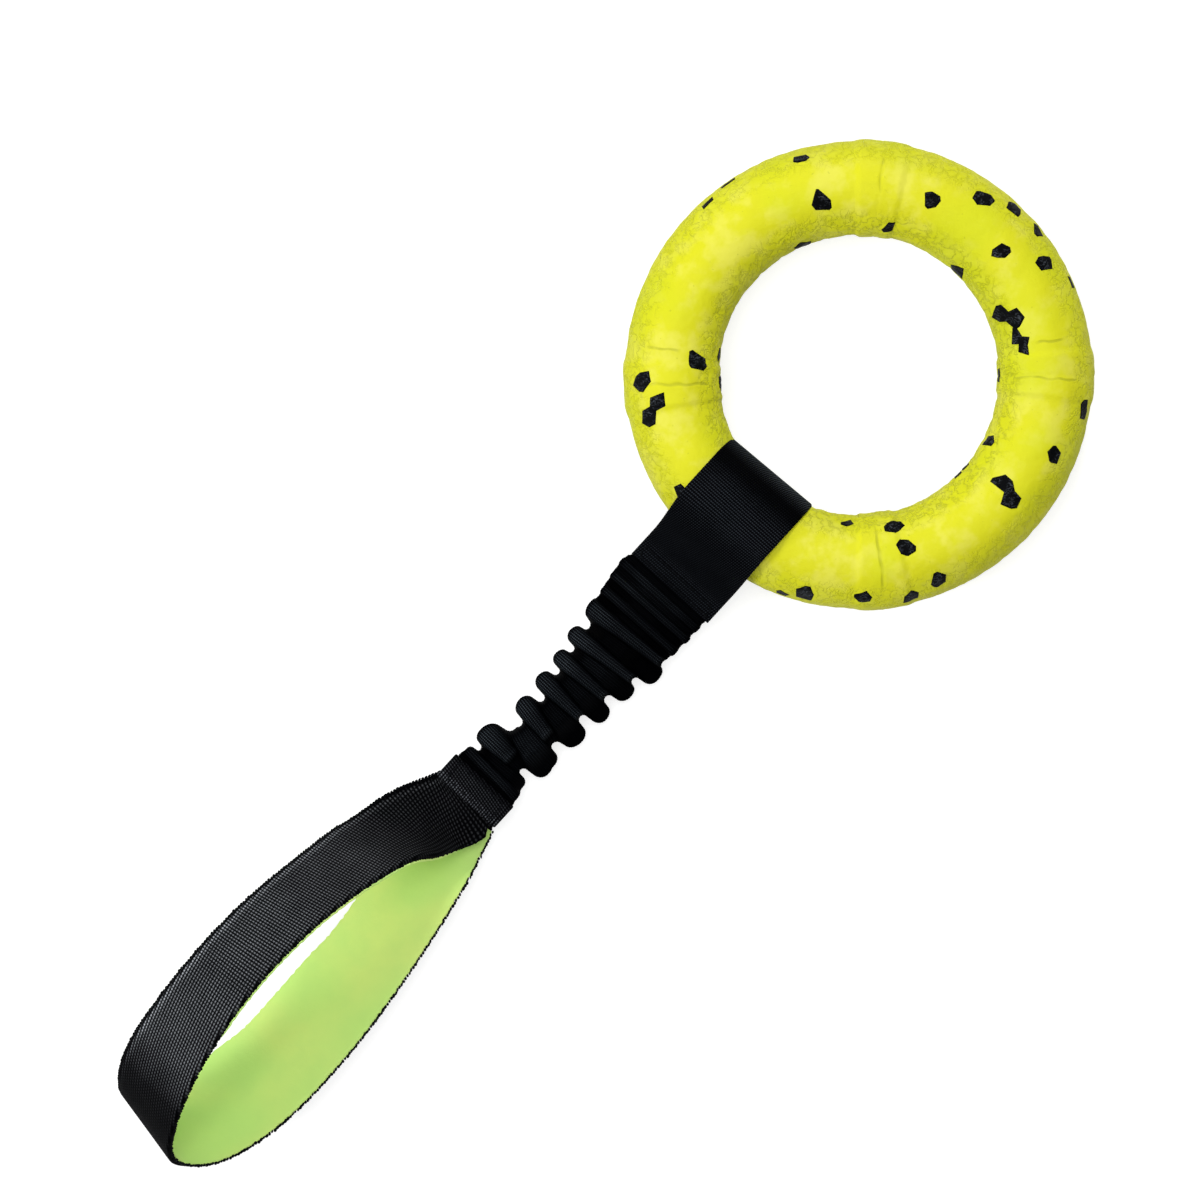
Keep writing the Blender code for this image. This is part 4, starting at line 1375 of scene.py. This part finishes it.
            # Where the painted shade in the gap beside each crest lies, and how wide it is.
            centre, spread = (0.52, 0.2) if here.lift > there.lift else (0.6, 0.27)
            columns["crease"].append(self.crease * depth * hump(share - 0.5, 0.17))
            columns["gap"].append(depth * hump(share - centre, spread))
            columns["lip"].append(np.full(len(share), max(here, there, key=lambda fold: fold.lift).lip))
            columns["nearest"].append(np.where(share < 0.5, first, first + len(share)))
            first += len(share)
        columns["nearest"][-1] = np.minimum(columns["nearest"][-1], first - 1)
        return {name: np.concatenate(column) for name, column in columns.items()}

    def surface(self) -> tuple[Array, dict[str, Array]]:
        """The whole sleeve's points by station and corner, with the attributes of its weave.

        Returns:
            The points, in metres, and the attributes.
        """
        line = self.stations()
        left, right = line["left"], line["right"]
        names = ("lift", "height", "flat", "crease", "lip")
        lift, height, flat, crease, lip = (line[name][:, None] for name in names)
        corner = np.linspace(0, 2 * math.pi, self.corners, endpoint=False)[None, :]
        side, rise = np.cos(corner), np.sin(corner)
        x = left[:, :1] + (right[:, :1] - left[:, :1]) * (1 - side) / 2
        reach = np.where(side > 0, left[:, 1:] - self.elastic_y, right[:, 1:] + self.elastic_y)
        off = np.sign(side) * np.abs(side) ** (1 - 0.5 * flat) * reach
        y = self.elastic_y + off
        far = ease((np.abs(off) - self.edge_from) / self.edge_ramp)
        middle = self.height + lift * (self.lift_middle + (self.lift_edge - self.lift_middle) * far)
        thin = np.minimum(self.edge_half, height)
        half = (height + (thin - height) * far * (1 - flat)) * (1 - crease * (1 - far))
        bow = (np.abs(rise) * np.sqrt(1 + side**2)) ** (1 - 0.6 * flat)
        crest = ease((lift + 1) / 2) * (1 - flat)
        past = ease((lip - y) / self.lip_fall) * crest**2
        curl = hump(y - lip - self.lip_at, self.lip_curl) * crest**2
        half = half * (1 + (0.2 * curl - 0.75 * past) * ease(rise * 4))
        rows = np.stack(np.broadcast_arrays(x, y, middle + half * bow * np.sign(rise)), axis=-1)
        steps = np.linalg.norm(np.diff(rows, axis=0), axis=2)
        along = np.concatenate([np.zeros((1, self.corners)), np.cumsum(steps, axis=0)])
        along = along - along[line["nearest"].astype(int)]
        across = np.cumsum(np.linalg.norm(rows - np.roll(rows, 1, axis=1), axis=2), axis=1)
        tone, grain = self.look(np.abs(off / reach), side, line, past, curl)
        return rows * MM, {"along": along, "across": across, "tone": tone, "grain": grain}

    @staticmethod
    def look(
        aside: Array, side: Array, line: dict[str, Array], past: Array, curl: Array
    ) -> tuple[Array, Array]:
        """Tone and grain: painted highlights on crests and their curled lips, strongest towards the lit left
        edge, and painted shade in valleys, in the gap beside each crest, at the edges and past a lip.

        Args:
            aside: how far aside each point lies, from 0 to 1.
            side: above 0 on the left, and below 0 on the right.
            line: the stations' own values.
            past: how far past a lip each point lies, from 0 to 1.
            curl: how much of a curled lip it is, from 0 to 1.

        Returns:
            The tone and the grain at each point.
        """
        lift, flat, tone, gap = (line[name][:, None] for name in ("lift", "flat", "tone", "gap"))
        crest = ease((lift + 1) / 2) * (1 - flat)
        leftward = aside * np.where(side > 0, 1.0, -1.0) - 0.1
        # Painted shade at the edges, in the gap beside each crest, in valleys towards the edges and past a lip;
        # painted highlight on curled lips and on the lit left side of crests.
        tone = tone * (0.06 + 0.94 * ease((1 - aside) / 0.13)) * (1 - 0.97 * gap)
        tone = tone * (1 - 0.85 * (1 - np.maximum(crest, flat)) * ease((aside - 0.35) / 0.4))
        tone = (tone + 0.35 * curl) * (1 - 0.93 * past) * (0.85 + 0.75 * crest * ease(leftward / 0.6))
        return tone, 0.4 + 0.5 * ease(leftward / 0.5)

    def build(self, sewing: Sewing) -> None:
        """Make the three lengths of sleeve and of elastic.

        Args:
            sewing: the webbing, thread and trees that sewn pieces share.
        """
        rows, values = self.surface()
        x = rows[:, :, 0].mean(axis=1) / MM
        # Its crest colour is a painted highlight on the yarn tops.
        finish = WebbingFinish("sleeve_nylon", paint(53, 59, 64), pick_pitch=0.6).material()
        low, high = self.cuts
        start_x, end_x = self.folds[-1].left_x, self.folds[0].left_x
        lengths = (
            ("handle_end", Body.HANDLE, Body.SLEEVE, start_x, low, self.turn_from, low),
            ("middle", Body.SLEEVE, Body.ELASTIC, low, high, low, high),
            ("ring_end", Body.ELASTIC, Body.STRAP, high, end_x, high, self.turn_to),
        )
        for name, before, after, start, end, turn_from, turn_to in lengths:
            chosen = np.flatnonzero((x >= start - 0.01) & (x <= end + 0.01))
            chosen = np.arange(chosen[0], min(chosen[-1] + 2, len(x)))
            weave = {key: value[chosen] for key, value in values.items()}
            mesh = loft(f"sleeve_{name}", rows[chosen], **weave)
            sleeve = sewing.ribs.run(f"sleeve_{name}", mesh, finish)
            at = np.arange(max(start, self.elastic_ends[0]), min(end, self.elastic_ends[1]), self.step)
            middle = np.stack([at, 0 * at + self.elastic_y, 0 * at + self.height], axis=1) * MM
            width = np.broadcast_to([0.0, 1.0, 0.0], middle.shape)
            path = BandPath.along(middle, width, np.full(len(at), self.elastic_half * MM))
            elastic = sewing.band(f"elastic_{name}", path, self.elastic_thick * MM, sewing.strap, 6)
            start, end = ((turn * MM, 0.0, self.height * MM) for turn in (turn_from, turn_to))
            pieces = ((sleeve, Slot.SLEEVE, "bungee_sleeve"), (elastic, Slot.ELASTIC, "elastic_core"))
            for piece, slot, node in pieces:
                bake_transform(piece)
                dress(piece, slot, *((node,) if name == "middle" else ()))


@dataclass
class LoopHandle(Sewn):
    """The loop handle: ribbed webbing outside, a soft lining inside, overlocked along both edges.

    Each leg's distance from the loop's middle line is a spread, its size, times a curve whose powers are its
    shape, and both lean from one leg to the other. The tables say, by place along X, how far the band's edges
    lie outside the plain band on each leg, and its tone, which is painted light and shade. Pairs named x say
    where something begins along X, and how far it takes to be whole.
    """

    lining: float = 2.4 * MM
    lining_edge: float = 0.9 * MM
    sewn_end_x: float = -44.6 * MM
    mouth_x: float = -56.0 * MM
    end_x: float = -190.5 * MM
    end_y: float = 4.5 * MM
    end_z: float = 27.0 * MM
    overhang: float = 2.38 * MM
    spread_y: tuple[float, float] = (43.6 * MM, 6.6 * MM)
    spread_z: tuple[float, float] = (59.3 * MM, 42.9 * MM)
    shape_y: tuple[float, float, float, float] = (0.975, -0.2, 0.575, 0.09)
    shape_z: tuple[float, float, float, float] = (1.1, 0.0, 0.55, 0.0)
    tilt: tuple[float, float] = (math.radians(34.5), math.radians(18.5))
    tilt_ramp: float = 0.18
    skew: float = 0.14
    half_width: float = 14.4 * MM
    width_ramp: float = 0.2
    stations: int = 84
    lining_start_x: float = -55.4 * MM
    seam_pitch: float = 1.05 * MM
    overlock: tuple[float, float, float] = (1.3 * MM, 0.8 * MM, 1.1 * MM)
    step: float = 0.24 * MM
    smooth: float = 2.0 * MM
    soft_step: float = 1.0 * MM
    trim: float = 0.9 * MM
    trim_x: tuple[float, float] = (-58 * MM, 6 * MM)
    hidden: float = 2.2
    hidden_x: tuple[float, float] = (-150 * MM, 8 * MM)
    tip_x: tuple[float, float] = (-61.5 * MM, 5.5 * MM)
    waves: tuple[tuple[float, float, float], ...] = ((0.12, 3.3, 0.0), (0.1, 2.3, 1.0))
    near_left: Table = (
        (-190, 0.5), (-180, 0.7), (-170, 0.2), (-160, -0.8), (-140, -1.2), (-120, -0.9), (-100, -0.8),
        (-90, -0.3), (-82, 0.8), (-70, 0.6), (-60, 1.2), (-53, 1.3), (-52, 0),
    )
    near_right: Table = (
        (-190, 1), (-180, 3), (-170, 3.2), (-157, 2.6), (-145, 1.6), (-130, 0.8), (-110, 0.3),
        (-95, 0.6), (-80, 1.5), (-70, 3), (-60, 2.05), (-57, 1.95), (-54, 2), (-52.6, 0.1),
    )
    far_left: Table = (
        (-190, 0), (-172, 1.2), (-165, 2.2), (-158, 2.3), (-153, 1.6), (-148, 1.1), (-135, 0.9),
        (-125, 0.3), (-118, -0.4), (-110, -1.9), (-100, -2.8), (-90, -3), (-75, -2), (-62, 0),
    )
    far_right: Table = (
        (-190, 1), (-180, 1.8), (-155, 1.2), (-140, 0.8), (-80, 0.9), (-70, 1.6), (-60, 2), (-54, 1.2),
        (-52, 0.1),
    )
    # Painted light and shade along X: the middle faces the light, the ends turn away from it.
    tones: Table = (
        (-190, 0.04), (-184, 0.04), (-178, 0.09), (-172, 0.42), (-167, 0.74), (-150, 0.84),
        (-120, 0.72), (-100, 0.6), (-86, 0.5), (-78, 0.25), (-70, 0.13), (-50, 0.1),
    )

    def spread(self, turn: Array, shape: tuple, size: tuple) -> Array:
        """Signed distance of a leg from the loop's middle line.

        Args:
            turn: half a turn from the upper leg to the lower.
            shape: powers of the curve and how they lean.
            size: its size and how it leans.

        Returns:
            The distances.
        """
        along, lean = np.sin(turn) ** 2, np.cos(turn)
        curve = along ** (shape[0] + shape[1] * lean) * (1 - along) ** (shape[2] + shape[3] * lean)
        return np.copysign((size[0] + size[1] * lean) * curve, lean)

    def path(self) -> BandPath:
        """The webbing's middle line, from its upper sewn end round the loop to its lower one.

        Returns:
            The path.
        """
        turn = np.linspace(0.0, math.pi, 401)[1:-1]
        along = np.sin(turn) ** 2
        reach = self.mouth_x - self.end_x - self.overhang
        y = self.junction_y + (self.end_y - self.junction_y) * along
        y = y + self.spread(turn, self.shape_y, self.spread_y)
        z = self.sleeve_z + self.leg_offset * np.cos(turn) + (self.end_z - self.sleeve_z) * along
        z = z + self.spread(turn, self.shape_z, self.spread_z)
        straight = self.sewn_end_x + (self.mouth_x - self.sewn_end_x) * np.arange(9) / 8
        none = 0 * straight
        upper, lower = (
            np.stack([straight, none + self.junction_y, none + self.sleeve_z + rise], axis=1)
            for rise in (self.leg_offset, -self.leg_offset)
        )
        points = np.vstack([upper[:8], np.stack([self.mouth_x - reach * along, y, z], axis=1), lower[::-1]])
        turn = np.concatenate([np.zeros(8), turn, np.full(9, math.pi)])
        at = run_length(points)
        even = np.linspace(0.0, at[-1], self.stations + 1)
        middle, turn = columns_at(even, at, points), np.interp(even, at, turn)
        middle[1:-1] = (middle[:-2] + 2 * middle[1:-1] + middle[2:]) / 4
        along = np.sin(turn) ** 2
        tilt = (self.tilt[0] + self.tilt[1] * np.cos(turn)) * ease(along / self.tilt_ramp)
        width = np.stack([self.skew * along * along, np.cos(tilt), -np.sin(tilt)], axis=1)
        half = self.half_sewn + (self.half_width - self.half_sewn) * ease(along / self.width_ramp)
        return BandPath.along(middle, width, half)

    @staticmethod
    def far(path: BandPath) -> Array:
        """Which leg each station is on: 0 on the near one, 1 on the far one, eased round the loop's end."""
        at = path.lengths()
        return ease((at - at[np.argmin(path.middle[:, 0])]) / (14 * MM) + 0.5)

    def fitted(self, path: BandPath) -> BandPath:
        """Draw the band's edges out to where they are seen.

        Args:
            path: the plain band.

        Returns:
            The fitted band.
        """
        x, far = path.middle / MM, self.far(path)
        near_left, far_left, near_right, far_right = (
            by_x(x, table) * MM for table in (self.near_left, self.far_left, self.near_right, self.far_right)
        )
        return path.widened(near_left * (1 - far) + far_left * far, near_right * (1 - far) + far_right * far)

    def look(self, rows: Array, across: Array) -> tuple[Array, Array]:
        """Tone and grain: painted shade towards both ends, which turn away from the light, and painted light
        along the middle; darker along both edges, with one pale line by the left edge.

        Args:
            rows: its points, in millimetres.
            across: how far across the band they lie.

        Returns:
            The tone and the grain at each point.
        """
        left = across.max(axis=1, keepdims=True) - across
        right = across - across.min(axis=1, keepdims=True)
        tone = by_x(rows, self.tones) * np.interp(left, (0.0, 1.6, 2.0, 2.8, 3.6), (0.1, 0.12, 2.5, 2.5, 1.0))
        return tone * np.interp(right, (0.0, 0.7), (0.35, 1.0)), 0.1 + 0.8 * ease((rows[..., 0] + 146) / 18)

    def build(self, sewing: Sewing) -> None:
        """Make the webbing, the lining and the overlocked edges.

        Args:
            sewing: the webbing, thread and trees that sewn pieces share.
        """
        path = self.fitted(self.path().resampled(self.step, self.smooth))
        trim = -self.trim * self.far(path) * ease((self.trim_x[0] - path.middle[:, 0]) / self.trim_x[1])
        dressed = sewing.handle, 22, self.look, HANDLE_NYLON.rib_pitch
        outer = sewing.band("handle_loop_webbing", path.widened(0 * trim, trim), self.webbing, *dressed)
        hand_over(outer, Body.HANDLE, Slot.HANDLE, "handle_webbing")
        lined = path.part(path.middle[:, 0] < self.lining_start_x).resampled(self.soft_step, self.soft_step)
        at = lined.lengths() / MM
        wave = sum(high * np.sin(2 * math.pi * at / length + start) for high, length, start in self.waves)
        self.add_lining(lined, wave)
        self.overlock_edges(lined, wave, sewing)

    def add_lining(self, lined: BandPath, wave: Array) -> None:
        """Make the soft lining, narrower where it ends in the mouth and where the near leg hides it.

        Args:
            lined: the band's path where it is lined.
            wave: how far its edges waver, in millimetres.
        """
        x, far = lined.middle[:, 0], self.far(lined)
        near = 1 - far
        hidden = self.hidden * ease((self.hidden_x[0] - x) / self.hidden_x[1]) * near
        tip = ease((x - self.tip_x[0]) / self.tip_x[1])
        left = 0.1 * far - 0.4 * near - (17 * far + 4 * near) * tip + wave * far
        padded = lined.widened(left * MM, (0.1 - hidden - 4 * tip * near + wave) * MM)
        padded.middle = padded.middle - padded.outward * (self.webbing + self.lining_edge) / 2
        rows, across = padded.rows(self.lining_edge, 24, crown=self.lining - self.lining_edge)
        mesh = loft("handle_lining_pad", rows, across=across)
        pad = placed("handle_lining_pad", mesh, LiningFinish().material())
        hand_over(pad, Body.HANDLE, Slot.LINING, "handle_lining")

    def overlock_edges(self, lined: BandPath, wave: Array, sewing: Sewing) -> None:
        """Bind the lining to the webbing with thread along both edges.

        Args:
            lined: the band's path where it is lined.
            wave: how far its edges waver, in millimetres.
            sewing: the webbing, thread and trees that sewn pieces share.
        """
        far = self.far(lined)
        near = 1 - far
        seams = (
            ("left", 1.0, 0.35 * far, 0.1 * near - 0.9 * far),
            ("right", -1.0, -1.15 * far - 0.7 * near, 0.3 * far - 0.45 * near + wave),
        )
        for name, side, out, beyond in seams:
            run = lined.spot(side, out * MM, beyond * MM)
            sizes = {"Size": self.overlock, "Slant": 0.35 * side, "Unlike": 0.3}
            seam = sewing.seam(f"handle_overlock_{name}", run, lined.outward, self.seam_pitch, **sizes)
            hand_over(seam, Body.HANDLE, Slot.THREAD, f"handle_edge_seam_{name}")


@dataclass
class JunctionKeeper(Sewn):
    """The short band of webbing sewn round the junction of handle and bungee."""

    thickness: float = 1.0 * MM
    from_x: float = -52.6 * MM
    to_x: float = -44.0 * MM
    corner: float = 1.0 * MM
    gap: float = 0.3 * MM
    inset: float = 1.5 * MM
    stitch_pitch: float = 2.1 * MM
    strip_x: float = -50.6
    tones: Table = (
        (-52.6, 0.25), (-52, 0.8), (-50.4, 0.8), (-49.9, 0.2), (-49.2, 0.32), (-46, 0.3), (-45.2, 0.12),
        (-44, 0.08),
    )

    def look(self, rows: Array, across: Array) -> tuple[Array, Array]:
        """Tone and grain: a pale strip of rows along X, then dimmer ribs across."""
        return by_x(rows, self.tones), 0.9 - 0.8 * ease(rows[..., 0] - self.strip_x)

    def build(self, sewing: Sewing) -> None:
        """Make the keeper and its box stitches.

        Args:
            sewing: the webbing, thread and trees that sewn pieces share.
        """
        half_y = self.half_sewn + self.gap + self.thickness / 2
        half_z = self.leg_offset + self.webbing / 2 + self.gap + self.thickness / 2
        outline = []
        for quarter, (y, z) in enumerate(((1, 1), (-1, 1), (-1, -1), (1, -1))):
            turn = np.linspace(0, math.pi / 2, 9) + math.pi / 2 * quarter
            aside, above = y * (half_y - self.corner), z * (half_z - self.corner)
            outline += [(aside + self.corner * math.cos(a), above + self.corner * math.sin(a)) for a in turn]
        outline = np.array(outline + outline[:1])
        at = run_length(outline)
        count = round(at[-1] / self.rib_step)
        y, z = columns_at(np.linspace(0.0, at[-1], count, endpoint=False), at, outline).T
        x = 0 * y + (self.from_x + self.to_x) / 2
        middle = np.stack([x, self.junction_y + y, self.sleeve_z + z], axis=1)
        ahead = unit(np.roll(middle, -1, axis=0) - np.roll(middle, 1, axis=0))
        width = np.broadcast_to([1.0, 0.0, 0.0], middle.shape)
        path = BandPath(middle, width, np.cross(ahead, width), np.full(count, (self.to_x - self.from_x) / 2))
        if (path.outward * (middle - middle.mean(axis=0))).sum() < 0:
            path.outward = -path.outward
        dressed = sewing.keeper, 24, self.look
        keeper = sewing.band("junction_keeper", path, self.thickness, *dressed, closed=True)
        hand_over(keeper, Body.HANDLE, Slot.WRAP, "junction_wrap")
        x = self.from_x + self.inset, self.to_x - self.inset
        y = self.junction_y, self.half_sewn - self.inset
        z = self.sleeve_z, half_z + self.thickness / 2 + self.stitch_rise
        sewing.box("junction_sewing", "junction_stitch", Body.HANDLE, x, y, z, self.stitch_pitch)


@dataclass
class Studio:
    """Pale floor, soft light and a camera that looks straight down on the toy."""

    centre: tuple[float, float] = (20.7 * MM, 13.2 * MM)
    right: tuple[float, float] = (0.6752, -0.7376)
    level: float = 15.0 * MM
    view_width: float = 1200 * 0.2985 * MM
    distance: float = 5.0
    sensor: float = 36.0
    floor_half: float = 6.0
    floor_grey: float = 0.5
    floor_glow: float = 0.72
    world_light: float = 0.38
    lamps: tuple[tuple[str, tuple[float, float, float], float, float], ...] = (
        ("right_lamp", (1.35, 0.86, 0.8), 0.4, 12.3),
        ("left_lamp", (-1.2, 0.78, 0.8), 0.4, 12.3),
        ("top_lamp", (0.0, 0.15, 1.7), 1.0, 13.0),
    )

    def floor(self) -> None:
        """A white floor that takes the toy's soft shadow."""
        half = self.floor_half
        corners = [(-half, -half, 0), (half, -half, 0), (half, half, 0), (-half, half, 0)]
        material = bpy.data.materials.new("floor_white")
        material.use_nodes = True
        graph = Graph(material.node_tree)
        path = graph.add("ShaderNodeLightPath").outputs
        seen = graph.maths("MAXIMUM", path["Is Camera Ray"], path["Is Glossy Ray"])
        seen = graph.maths("MAXIMUM", seen, path["Is Transmission Ray"])
        matte = graph.out("ShaderNodeBsdfDiffuse", {"Color": (*(self.floor_grey,) * 3, 1.0)})
        shine = graph.out("ShaderNodeEmission", {"Strength": graph.times(seen, self.floor_glow)})
        both = graph.out("ShaderNodeAddShader", {0: matte, 1: shine})
        graph.add("ShaderNodeOutputMaterial", {"Surface": both})
        floor = linked("floor", plain_mesh("floor", corners, [], [(0, 1, 2, 3)]))
        floor.data.materials.append(material)
        floor.location.z = -0.1 * MM

    def world(self) -> None:
        """Plain pale surroundings."""
        world = bpy.data.worlds.new("surroundings")
        world.use_nodes = True
        graph = Graph(world.node_tree)
        path = graph.add("ShaderNodeLightPath").outputs
        seen = graph.maths("MAXIMUM", path["Is Camera Ray"], path["Is Transmission Ray"])
        feeds = {"Color": (1.0,) * 4, "Strength": graph.ramp(seen, 0.0, 1.0, self.world_light, 1.0)}
        graph.add("ShaderNodeOutputWorld", {"Surface": graph.out("ShaderNodeBackground", feeds)})
        bpy.context.scene.world = world

    def camera(self) -> None:
        """A long lens straight above, turned so that the toy lies as it does in the picture."""
        data = bpy.data.cameras.new("camera")
        data.sensor_width = self.sensor
        data.lens = self.sensor * self.distance / self.view_width
        data.clip_end = 20.0
        camera = linked("camera", data)
        camera.location = (*self.centre, self.level + self.distance)
        camera.rotation_euler = (0.0, 0.0, math.atan2(self.right[1], self.right[0]))
        bpy.context.scene.camera = camera

    def build(self) -> None:
        """Make the whole studio, its lamps facing the toy."""
        self.floor()
        self.world()
        for name, place, size, power in self.lamps:
            light = bpy.data.lights.new(name, "AREA")
            light.shape, light.size, light.energy = "DISK", size, power
            lamp = linked(name, light)
            lamp.location = place
            lamp.rotation_euler = (-Vector(place)).to_track_quat("-Z", "Y").to_euler()
        self.camera()
        bpy.context.scene.view_settings.view_transform = "Standard"


def main() -> None:
    """Build every sub-assembly in order, and the studio round them."""
    logging.basicConfig(level=logging.INFO, format="%(name)s: %(message)s")
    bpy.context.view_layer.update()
    FoamRing().build()
    sewing = Sewing()
    RingStrap().build(sewing)
    BungeeSleeve().build(sewing)
    LoopHandle().build(sewing)
    JunctionKeeper().build(sewing)
    Studio().build()


if __name__ == "__main__":
    main()
